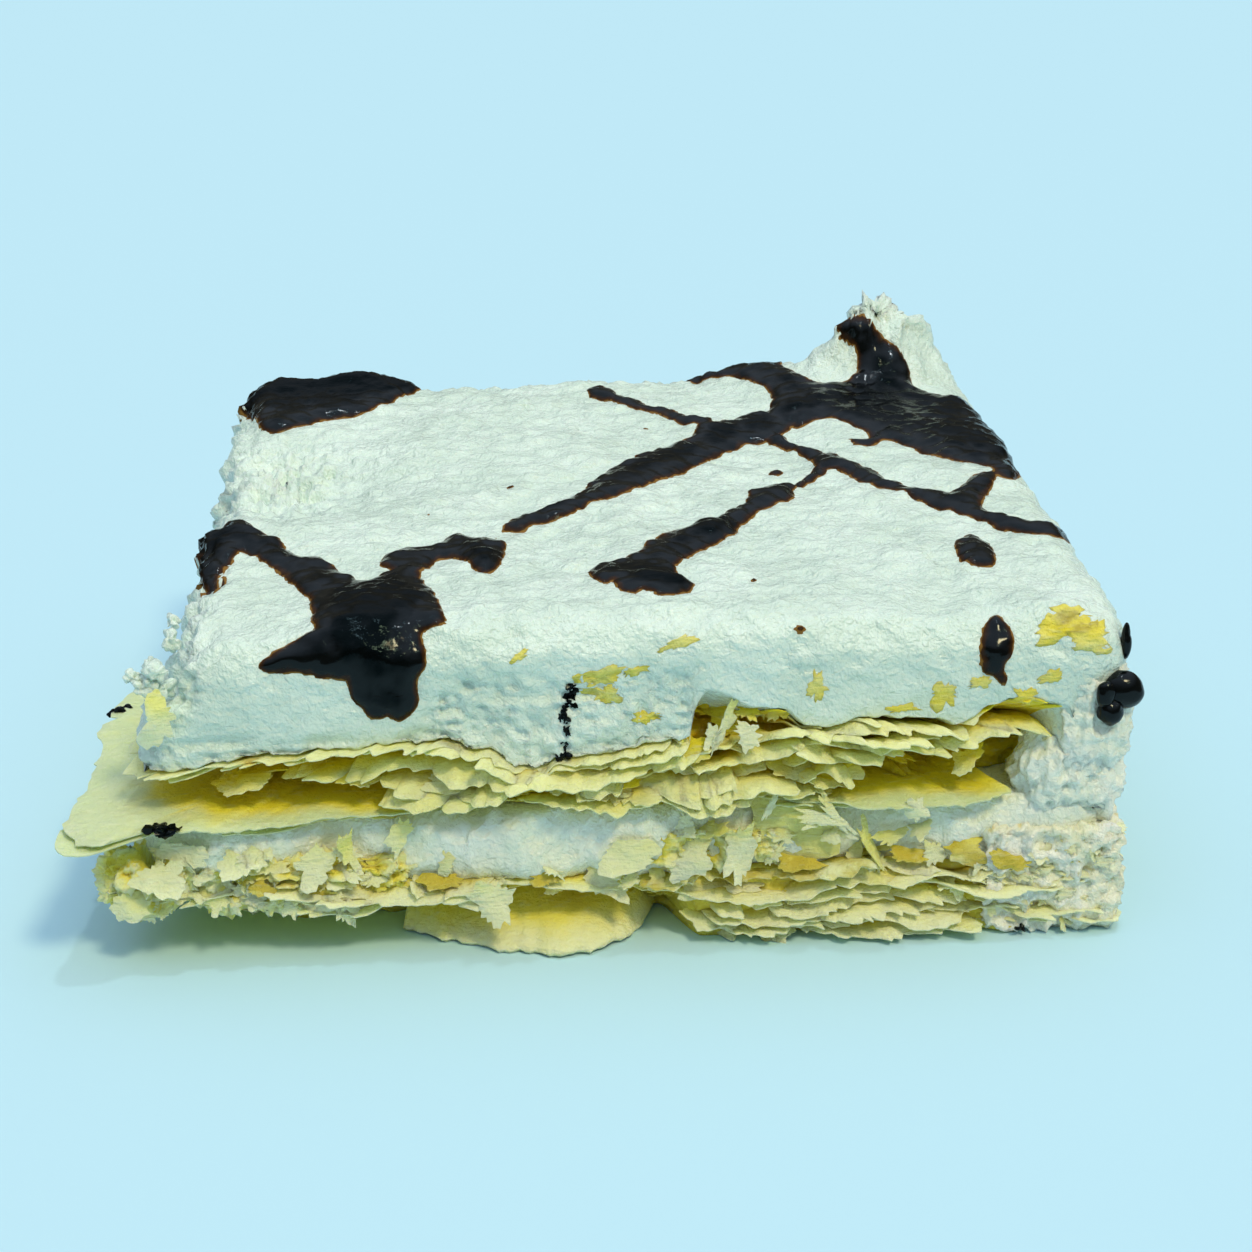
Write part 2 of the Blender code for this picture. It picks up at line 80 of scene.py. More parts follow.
def lattice(points, seed):
    # Smooth noise from -1 to 1 at points one unit apart.
    cell = np.floor(points).astype(np.int64)
    share = points - cell
    share = share**3 * (share * (share * 6 - 15) + 10)
    total = np.zeros(len(points))
    for dx in (0, 1):
        for dy in (0, 1):
            for dz in (0, 1):
                mixed = ((cell[:, 0] + dx) * 73856093) ^ ((cell[:, 1] + dy) * 19349663)
                mixed ^= ((cell[:, 2] + dz) * 83492791) ^ (seed * 2654435761)
                value = noiseTable[(mixed ^ (mixed >> 15)) & 65535]
                weight = np.abs(1 - dx - share[:, 0]) * np.abs(1 - dy - share[:, 1])
                total += value * weight * np.abs(1 - dz - share[:, 2])
    return total


def ripple(points, size, seed, octaves=2):
    # Rolling noise from about -1 to 1, with waves of this size in mm.
    total, reach = 0, 0
    place = np.asarray(points, float) / size
    for octave in range(octaves):
        place = place @ turnMatrix.T + 7.3
        total = total + lattice(place * 2**octave, seed + octave) * 0.5**octave
        reach += 0.5**octave
    return total * 1.6 / reach


def lumps(points, size, seed, octaves=2):
    # Rounded bumps from 0 to about 1, with sharp creases between them.
    total = 0
    place = np.asarray(points, float) / size
    for octave in range(octaves):
        place = place @ turnMatrix.T + 3.1
        total = total + np.abs(lattice(place * 2**octave, seed + octave)) * 0.5**octave
    return 1 - 1.5 * total


def stack(*columns):
    # Numbers or arrays joined as the columns of points.
    return np.stack(np.broadcast_arrays(*columns), axis=-1).astype(float)


def roundedPlan(a, b):
    # Where a point of the square from -1 to 1 lies in the slab's plan.
    power = slab["cornerPower"]
    biggest = np.maximum(np.maximum(np.abs(a), np.abs(b)), 1e-9)
    squeeze = biggest / (np.abs(a)**power + np.abs(b)**power + 1e-30) ** (1 / power)
    return halfWidth * a * squeeze, halfDepth * b * squeeze


def squareEdge(turn):
    # A point on the square's edge; turn is 0 to 4 along front, right, back and left.
    side = np.floor(turn).astype(int) % 4
    run = 2 * (turn % 1) - 1
    one = np.ones_like(run)
    return np.choose(side, [run, one, -run, -one]), np.choose(side, [-one, run, one, -run])


def squareTurn(a, b):
    # The turn of a point on the square's edge.
    turn = np.where(b <= -1, (a + 1) / 2, np.where(a >= 1, 1 + (b + 1) / 2, 0))
    turn = np.where((a <= -1) & (b > -1), 3 + (1 - b) / 2, turn)
    return np.where((b >= 1) & (a < 1), 2 + (1 - a) / 2, turn)


def insetPoint(turn, inset):
    # Where a turn lies on the slab's edge, moved in by this many millimetres.
    x, y = roundedPlan(*squareEdge(turn))
    share = 1 - inset / halfDepth
    return x * share, y * share


def sideTurns():
    return np.concatenate([side + (np.arange(n) + 0.5) / n for side, n in enumerate(slab["sideCounts"])])


def frontShare(y, run=14):
    # 1 on the front face and 0 from this far behind it.
    return ease((-halfDepth + run - y) / run)


def leftSpread(x, y):
    # How far a point of the lower layers moves out to the left.
    share = np.clip(-x / halfWidth, 0, 2) ** 3
    return slab["leftSpread"] * share * (0.4 + 0.6 * ease((20 - y) / 50))


def leftGap(x, y):
    # 1 along the front half of the left side, where a gap shows over the wide sheet.
    return ease((-x - 36) / 10) * ease((-6 - y) / 14)


# Humps of the topping: x, y, radius along x, radius along y, height
humps = {
    "back rise": (32.0, 46.0, 15.0, 14.0, 4.2),
    "peak left": (34.2, 43.0, 4.1, 4.8, 7.8),
    "peak right": (39.9, 42.5, 4.2, 4.8, 7.4),
    "middle crown": (0.0, 40.0, 34.0, 22.0, 1.6),
    "left dip": (-40.0, 5.0, 12.0, 13.0, -2.8),
    "left ridge": (-44.0, -13.0, 8.0, 4.0, 1.1),
    "front left sag": (-52.0, -50.0, 24.0, 22.0, -2.6),
    "front right sag": (30.0, -56.0, 60.0, 20.0, -1.2),
}

# The topping's lower edge: x and height on the front, y and height on the right
creamBottomFront = (
    (-54, 21.6), (-51.4, 20.6), (-47, 21.6), (-44, 23.0), (-39.7, 23.4), (-35.4, 24.0), (-26.6, 24.5),
    (-22, 24.6), (-19.9, 23.6), (-17.2, 23.2), (-15.1, 21.4), (-12.4, 21.4), (-9.8, 22.2), (-6.2, 22.4),
    (-1.8, 23.4), (2.2, 23.9), (3.4, 24.6), (3.9, 28.0), (5.2, 29.8), (7.9, 28.8), (10.5, 27.4),
    (13.6, 27.0), (15.5, 25.4), (18, 25.4), (21, 26.3), (24.6, 26.1), (29.6, 25.6), (31.6, 24.4),
    (33.4, 25.6), (35.3, 27.0), (37.9, 28.0), (39.8, 28.1), (43.4, 26.6), (44.2, 24.9), (45.0, 18.6),
    (46.6, 14.8), (49, 13.8), (52, 13.2),
)
creamBottomRight = ((-48, 13.6), (-43, 13.8), (-39, 15.0), (-36.5, 21.0), (-34, 23.4), (60, 23.4))


def topHeight(x, y):
    # Height of the topping's top, without its rounded rim.
    flat = stack(x, y, 0 * x)
    shape = flat.shape[:-1]
    flat = flat.reshape(-1, 3)
    z = slab["creamTop"] + (0.45 * ripple(flat, 21, 1, 1) + 0.3 * ripple(flat, 8, 2, 1)).reshape(shape)
    for middleX, middleY, radiusX, radiusY, height in humps.values():
        away = ((x - middleX) / radiusX) ** 2 + ((y - middleY) / radiusY) ** 2
        z = z + height * np.exp(-away)
    return z


def creamBottom(turn, inset):
    # The topping's ragged lower edge, easing to a flat underside inside.
    x, y = insetPoint(turn, 0.0)
    flat = stack(x, y, 0 * x)
    side = slab["upperTop"] - 0.6 + 0.9 * ripple(flat, 13, 3)
    side = np.where(x > halfWidth - 3, np.minimum(side, readAlong(creamBottomRight, y)), side)
    front = readAlong(creamBottomFront, x)
    rim = side + (front - side) * frontShare(y)
    rim = rim + 0.45 * ripple(flat, 3.2, 5, 3) + 0.25 * ripple(flat, 1.2, 6)
    return slab["upperTop"] + (rim - slab["upperTop"]) * np.clip(1 - inset / 7, 0, 1)


def topSurface(x, y):
    # Height of the topping's smooth form anywhere on the slab's plan, rounded rim included.
    power, cap = slab["cornerPower"], 1 - slab["rimRadius"] / halfDepth
    share = ((np.abs(x) / halfWidth) ** power + (np.abs(y) / halfDepth) ** power) ** (1 / power)
    over = np.clip(1 - (1 - share) * halfDepth / slab["rimRadius"], 0, 1)
    pulled = cap / np.maximum(share, cap)
    return topHeight(x * pulled, y * pulled) - slab["rimRadius"] * (1 - np.sqrt(1 - over**2))


def draped(x, run):
    # A point of the topping laid flat: run goes back over the top, or below the rim's
    # start it goes down the front face.
    x, run = np.broadcast_arrays(np.asarray(x, float), np.asarray(run, float))
    power = slab["cornerPower"]
    over = np.maximum(rimStart - run, 0)
    angle = np.minimum(over / slab["rimRadius"], math.pi / 2)
    down = np.maximum(over - rimArc, 0)
    share = 1 - slab["rimRadius"] * (1 - np.sin(angle)) / halfDepth
    cap = 1 - slab["rimRadius"] / halfDepth
    a = x / (halfWidth * share)
    for _ in range(3):
        a = np.clip(x / (halfWidth * share) * (np.abs(a) ** power + 1) ** (1 / power), -1, 1)
    edgeX, edgeY = roundedPlan(a, -np.ones_like(a))
    rimZ = topHeight(edgeX * cap, edgeY * cap) - slab["rimRadius"] * (1 - np.cos(angle)) - down
    onTop = run >= rimStart
    y = np.where(onTop, run, edgeY * share)
    z = np.where(onTop, topSurface(x, run), rimZ)
    return stack(np.where(onTop, x, edgeX * share), y, z)


# Relief of the topping's skin; ripples and lumps are a height and a size in mm, places are
# x, y and two reaches
creamSkin = {
    "fine": (0.34, 1.4),
    "middling": (0.15, 3.6),
    "broad": (0.14, 9),
    "lumps": (1.1, 3.8),
    "smallLumps": (0.8, 1.4),
    "lumpsStart": 0.9,
    "smoothFront": 0.5,          # how much of the skin's relief the front lacks
    "peak": (37, 45, 8, 7),
    "dip": (-42, 8, 8, 12),
    # x and the height under which the front is torn and crumbly
    "tornBelow": ((-54, 27), (-27, 26), (-21, 33), (3, 33), (6, 26), (34, 25), (38, 28), (52, 28)),
}


def leftFlare(points):
    # The front left corner leans out towards its foot.
    x, y, z = np.moveaxis(np.asarray(points), -1, 0)
    return slab["leftLean"] * ease((-x - 38) / 13) * ease((32 - z) / 8) * ease((-y - 16) / 22)


def nearness(name, x, y):
    # 1 at the middle of this place of the skin, falling to 0 round it.
    middleX, middleY, reachX, reachY = creamSkin[name]
    return np.exp(-((x - middleX) / reachX) ** 2 - ((y - middleY) / reachY) ** 2)


def creamRelief(points):
    # How far the topping's skin stands off its smooth form, in mm.
    x, y, z = points.T
    peak, dip = nearness("peak", x, y), 0.95 * nearness("dip", x, y)
    leftFace = ease((-x - 45) / 4)
    back = 0.7 * ease((y - 40) / 6)
    tornFront = 0.75 * ease((readAlong(creamSkin["tornBelow"], x) - z) / 3) * frontShare(y, 5)
    rough = np.clip(np.maximum.reduce([1.2 * peak, leftFace, back, dip, tornFront]), 0, 1)
    (fine, fineSize), (middling, middlingSize), (broad, broadSize) = (
        creamSkin[name] for name in ("fine", "middling", "broad"))
    stretched = points * (0.6, 1.0, 1.0)
    skin = fine * ripple(stretched, fineSize, 21) + middling * ripple(stretched, middlingSize, 23)
    skin += broad * ripple(points, broadSize, 25, 1)
    cut = ease((33 - z) / 3) * frontShare(y, 5)
    skin = skin * (1 - creamSkin["smoothFront"] * cut)
    (large, largeSize), (small, smallSize) = creamSkin["lumps"], creamSkin["smallLumps"]
    turned = points @ turnMatrix
    crumbly = large * lumps(turned, largeSize, 31, 3) * (1 - 0.6 * cut)
    crumbly = crumbly + small * lumps(turned, smallSize, 35, 2) - creamSkin["lumpsStart"]
    return skin + rough * crumbly * (1 + np.clip(peak, 0, 1) + 1.7 * dip)


class Shape:  # Gathers closed skins in millimetres, with fields for the materials.
    def __init__(self):
        self.points, self.faces, self.fields, self.count = [], [], {}, 0

    def add(self, points, faces, **fields):
        points = np.asarray(points, float).reshape(-1, 3)
        self.points.append(points)
        self.faces.extend([[i + self.count for i in face] for face in faces])
        for name in set(self.fields) | set(fields):
            values = self.fields.setdefault(name, [np.zeros(self.count)])
            values.append(np.broadcast_to(np.asarray(fields.get(name, 0.0), float), len(points)))
        self.count += len(points)

    def make(self, name, material, crease=None):
        mesh = bpy.data.meshes.new(name)
        points = np.concatenate(self.points)
        points = (points + (*slab["middle"], 0)) * mm
        mesh.from_pydata(points.tolist(), [], self.faces)
        for field, values in self.fields.items():
            layer = mesh.attributes.new(field, "FLOAT", "POINT")
            layer.data.foreach_set("value", np.concatenate(values).astype(np.float32))
        mesh.shade_smooth()
        if crease:
            mesh.set_sharp_from_angle(angle=math.radians(crease))
        mesh.materials.append(material)
        piece = bpy.data.objects.new(name, mesh)
        bpy.context.scene.collection.objects.link(piece)
        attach(piece, "root")
        print(f"  {name}: {len(mesh.vertices)} points, {sum(len(f) - 2 for f in self.faces)} triangles")
        return piece


def gridFaces(rows, columns, wrap=False, flip=False, start=0):
    # The quads of a grid of points, closed to a ring if it wraps.
    index = start + np.arange(rows * columns).reshape(rows, columns)
    if wrap:
        index = np.concatenate([index, index[:, :1]], axis=1)
    quads = np.stack([index[:-1, :-1], index[:-1, 1:], index[1:, 1:], index[1:, :-1]], axis=-1)
    if flip:
        quads = quads[..., ::-1]
    return quads.reshape(-1, 4).tolist()


def skinNormals(points, faces):
    # A unit normal at each point, averaged over the quads round it.
    quads = np.array([f for f in faces if len(f) == 4])
    a, b, c, d = (points[quads[:, corner]] for corner in range(4))
    faceNormals = np.cross(c - a, d - b)
    total = np.zeros_like(points)
    for corner in range(4):
        np.add.at(total, quads[:, corner], faceNormals)
    return total / np.maximum(np.linalg.norm(total, axis=1, keepdims=True), 1e-12)


def ringBody(rings):
    # A closed skin through rings that run anticlockwise, from the bottom up.
    rings = np.asarray(rings)
    rows, count, _ = rings.shape
    faces = gridFaces(rows, count, wrap=True)
    faces.append(list(range(count))[::-1])
    faces.append([(rows - 1) * count + i for i in range(count)])
    return rings.reshape(-1, 3), faces


class Field:  # One socket of a graph; sums on it add Math nodes.
    def __init__(self, graph, socket):
        self.graph, self.socket = graph, socket

    def combine(self, operation, first, second):
        return self.graph.add("ShaderNodeMath", {"operation": operation}, {0: first, 1: second}, "Value")

    def __add__(self, other): return self.combine("ADD", self, other)
    def __radd__(self, other): return self.combine("ADD", other, self)
    def __sub__(self, other): return self.combine("SUBTRACT", self, other)
    def __rsub__(self, other): return self.combine("SUBTRACT", other, self)
    def __mul__(self, other): return self.combine("MULTIPLY", self, other)
    def __rmul__(self, other): return self.combine("MULTIPLY", other, self)


class Graph:  # The nodes of a material or a world, which end in one shader.
    def __init__(self, owner, shader, fixed):
        owner.use_nodes = True
        self.owner, self.tree, self.place = owner, owner.node_tree, None
        self.shader = self.tree.nodes[shader]
        for socket, value in fixed.items():
            self.shader.inputs[socket].default_value = value

    def add(self, kind, settings, inputs, output):
        # A node of this kind: its settings come first, then values or links by socket.
        node = self.tree.nodes.new(kind)
        for name, value in settings.items():
            setattr(node, name, value)
        for name, value in inputs.items():
            socket = self.pick(node.inputs, name)
            if isinstance(value, Field):
                self.tree.links.new(value.socket, socket)
            elif isinstance(value, tuple) and len(socket.default_value) == 4:
                socket.default_value = (*value, 1.0)
            else:
                socket.default_value = value
        return Field(self, self.pick(node.outputs, output))

    def pick(self, sockets, name):
        if isinstance(name, int):
            return sockets[name]
        return next(s for s in sockets if s.name == name and s.enabled)

    def noise(self, sizeMm, detail=2.0, stretch=None, distortion=0.0):
        if self.place is None:
            self.place = self.add("ShaderNodeTexCoord", {}, {}, "Object")
        place = self.place
        if stretch:
            settings = {"operation": "MULTIPLY"}
            place = self.add("ShaderNodeVectorMath", settings, {0: place, 1: stretch}, "Vector")
        inputs = {"Vector": place, "Scale": 1 / (sizeMm * mm), "Detail": detail, "Distortion": distortion}
        return self.add("ShaderNodeTexNoise", {}, inputs, "Fac")

    def step(self, value, low, high):
        # A smooth step from 0 at low to 1 at high.
        inputs = {"Value": value, "From Min": low, "From Max": high}
        return self.add("ShaderNodeMapRange", {"interpolation_type": "SMOOTHSTEP"}, inputs, "Result")

    def read(self, name):
        return self.add("ShaderNodeAttribute", {"attribute_name": name}, {}, "Fac")

    def mix(self, share, first, second):
        inputs = {"Factor": share, "A": first, "B": second}
        return self.add("ShaderNodeMix", {"data_type": "RGBA"}, inputs, "Result")

    def bump(self, height, strength, distanceMm):
        inputs = {"Height": height, "Strength": strength, "Distance": distanceMm * mm}
        return self.add("ShaderNodeBump", {}, inputs, "Normal")

    def feed(self, **sockets):
        for name, field in sockets.items():
            self.tree.links.new(field.socket, self.shader.inputs[name.replace("_", " ")])
        return self.owner


def newMaterial(name, fixed):
    return Graph(bpy.data.materials.new(name), "Principled BSDF", fixed)


# Looks of the three materials; each piece has its own tints, sizes and depths are in mm
creamLook = {
    "fixed": {
        "Subsurface Weight": 0.35, "Subsurface Radius": (0.9, 1.0, 0.95),
        "Subsurface Scale": 0.0006, "IOR": 1.45, "Specular IOR Level": 0.7,
    },
    "cloudSize": 7.0,
    "grainSize": 0.55,
    # painted glints: the lighter colour laid on the grains' crests
    "paintedGlintColour": (0.93, 0.97, 0.95),
    "fleckSize": 1.6,
    "fleckColour": (0.80, 0.68, 0.30),
    "roughness": 0.38,
    "grainShine": 0.28,
    "bumpStrength": 0.75,
    "bumpDepth": 0.5,
}

pastryLook = {
    "fixed": {
        "Subsurface Weight": 0.5, "Subsurface Radius": (1.0, 0.92, 0.5),
        "Subsurface Scale": 0.0012, "IOR": 1.4, "Specular IOR Level": 0.3,
    },
    "patchSize": 5.0,
    "fibreSize": 0.9,
    "fibreColour": (0.93, 0.94, 0.66),
    "roughness": 0.5,
    "fibreRoughness": 0.3,
    "bumpStrength": 0.9,
    "bumpDepth": 0.35,
}

chocolateLook = {
    "fixed": {
        "Coat Roughness": 0.12, "Specular IOR Level": 0.26, "IOR": 1.2,
        "Specular Tint": (0.55, 0.9, 1.0, 1.0),
    },
    "blotchSize": 1.1,
    "thickColour": (0.0012, 0.002, 0.0022),
    "thinColour": (0.06, 0.024, 0.007),
    "rimColour": (0.24, 0.125, 0.03),
    "rimCoat": 0.36,
    "roughness": 0.09,
    "blotchRoughness": 0.14,
    "bumpStrength": 0.35,
    "bumpDepth": 0.3,
}


def whippedCream(name, tint, shade, speckled=0.0):
    # Off-white with painted glints, a lighter colour on the grains where the roughness is also lower, and
    # flecks of pastry where it is mashed in.
    look = creamLook
    graph = newMaterial(name, look["fixed"])
    cloudy = graph.noise(look["cloudSize"], 3.0)
    grain = graph.noise(look["grainSize"], 3.0)
    colour = graph.mix(graph.step(cloudy, 0.35, 0.7), shade, tint)
    # Painted glints: the grains turn lighter where they also shine most.
    colour = graph.mix(graph.step(grain, 0.62, 0.8) * 0.5, colour, look["paintedGlintColour"])
    if speckled:
        flecks = graph.step(graph.noise(look["fleckSize"], 4.0), 0.62, 0.7) * speckled
        colour = graph.mix(flecks, colour, look["fleckColour"])
    height = grain * 0.8 + graph.noise(1.0, 2.0, None, 0.8) * 1.1 + graph.noise(0.3, 1.0) * 0.25
    return graph.feed(
        Base_Color=colour,
        Roughness=look["roughness"] - grain * look["grainShine"],
        Normal=graph.bump(height, look["bumpStrength"], look["bumpDepth"]),
    )


def pastry(name, colours):
    # Baked leaf: pale where it is thin and torn, deeper yellow inside as painted shade of the hollows,
    # browned in places.
    look = pastryLook
    graph = newMaterial(name, look["fixed"])
    depth = graph.read("depth")
    patch = graph.noise(look["patchSize"], 3.0, (1.0, 1.0, 1.6))
    fibre = graph.noise(look["fibreSize"], 4.0, (0.5, 1.0, 2.2))
    # Painted shade: the depth field turns the colour to the deeper, more saturated yellow of the shaded
    # hollows.
    inward = graph.step(depth + (patch - 0.5) * 3.4, -0.1, 2.8)
    colour = graph.mix(inward, colours["paleColour"], colours["paintedShadeColour"])
    browning = graph.read("browning") + (patch - 0.5) * 2.2 + (fibre - 0.5) * 0.8
    browned = graph.step(browning, 0.5, 1.0) * colours["brownShare"]
    colour = graph.mix(browned, colour, colours["brownColour"])
    colour = graph.mix(graph.step(fibre, 0.5, 0.75) * 0.25, colour, look["fibreColour"])
    height = fibre * 1.4 + graph.noise(0.4, 3.0) * 0.8
    return graph.feed(
        Base_Color=colour,
        Roughness=look["roughness"] + fibre * look["fibreRoughness"],
        Normal=graph.bump(height, look["bumpStrength"], look["bumpDepth"]),
    )


def setChocolate():
    # Nearly black where it is thick, with a thin brown rim that shines.
    look = chocolateLook
    graph = newMaterial("setChocolate", look["fixed"])
    thickness = graph.read("thickness")
    blotch = graph.noise(look["blotchSize"], 3.0)
    thin = 1 - graph.step(thickness + (blotch - 0.5) * 0.3, 0.04, 0.42)
    colour = graph.mix(thin, look["thickColour"], look["thinColour"])
    colour = graph.mix(graph.step(thin, 0.8, 1.0), colour, look["rimColour"])
    height = graph.noise(0.9, 3.0) + graph.noise(0.35, 2.0) * 0.4
    nearRim = graph.step(thickness, 0.1, 0.4) * (1 - graph.step(thickness, 0.6, 1.0))
    return graph.feed(
        Coat_Weight=nearRim * look["rimCoat"],
        Base_Color=colour,
        Roughness=look["roughness"] + graph.step(blotch, 0.5, 0.75) * look["blotchRoughness"],
        Normal=graph.bump(height, look["bumpStrength"], look["bumpDepth"]),
    )


topping = {
    "cells": (240, 150),
    "rimSteps": 12,
    "sideSteps": 32,
    "underInsets": (0.5, 1.2, 2.2, 3.6, 5.2, 7.0, 12.0),
    "underRelief": 0.3,          # share of the relief that the underside has
    "tint": (0.775, 0.905, 0.81),
    "shade": (0.685, 0.82, 0.72),
}


def makeTopping(material):
    # Grid over the top, then rings down the rim and the side and in under the slab.
    across, back = topping["cells"]
    a, b = np.meshgrid(np.linspace(-1, 1, across + 1), np.linspace(-1, 1, back + 1))
    cap = 1 - slab["rimRadius"] / halfDepth
    x, y = roundedPlan(a, b)
    x, y = x * cap, y * cap
    rows = [stack(x, y, topHeight(x, y)).reshape(-1, 3)]
    index = np.arange((across + 1) * (back + 1)).reshape(back + 1, across + 1)
    loop = np.concatenate([index[0, :-1], index[:-1, -1], index[-1, :0:-1], index[:0:-1, 0]])
    edgeA, edgeB = a.reshape(-1)[loop], b.reshape(-1)[loop]
    turn = squareTurn(edgeA, edgeB)
    outX, outY = roundedPlan(edgeA, edgeB)
    rimTop = topHeight(outX * cap, outY * cap)
    radius = slab["rimRadius"]

    def ring(inset, z):
        share = 1 - inset / halfDepth
        return stack(outX * share, outY * share, z)

    for step in range(1, topping["rimSteps"] + 1):
        angle = step / topping["rimSteps"] * math.pi / 2
        rows.append(ring(radius * (1 - math.sin(angle)), rimTop - radius * (1 - math.cos(angle))))
    low = creamBottom(turn, 0.0)
    for step in range(1, topping["sideSteps"] + 1):
        share = step / topping["sideSteps"]
        rows.append(ring(0.0, (rimTop - radius) * (1 - share) + low * share))
    for inset in topping["underInsets"]:
        rows.append(ring(inset, creamBottom(turn, inset)))
    points = np.concatenate(rows)
    faces = gridFaces(back + 1, across + 1)
    count = len(loop)
    start = index.size
    rings = [loop] + [start + count * k + np.arange(count) for k in range(len(rows) - 1)]
    for upper, lower in zip(rings, rings[1:]):
        quads = np.stack([upper, lower, np.roll(lower, -1), np.roll(upper, -1)], axis=-1)
        faces.extend(quads.tolist())
    normals = skinNormals(points, faces)
    faces.append(rings[-1][::-1].tolist())
    relief = creamRelief(points)
    under = start + count * (topping["rimSteps"] + topping["sideSteps"])
    relief[under:] *= topping["underRelief"]
    shape = Shape()
    points = points + normals * relief[:, None]
    points[:, 0] -= leftFlare(points)
    shape.add(points, faces)
    piece = shape.make("creamTopping", material)
    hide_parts("cream_topping")


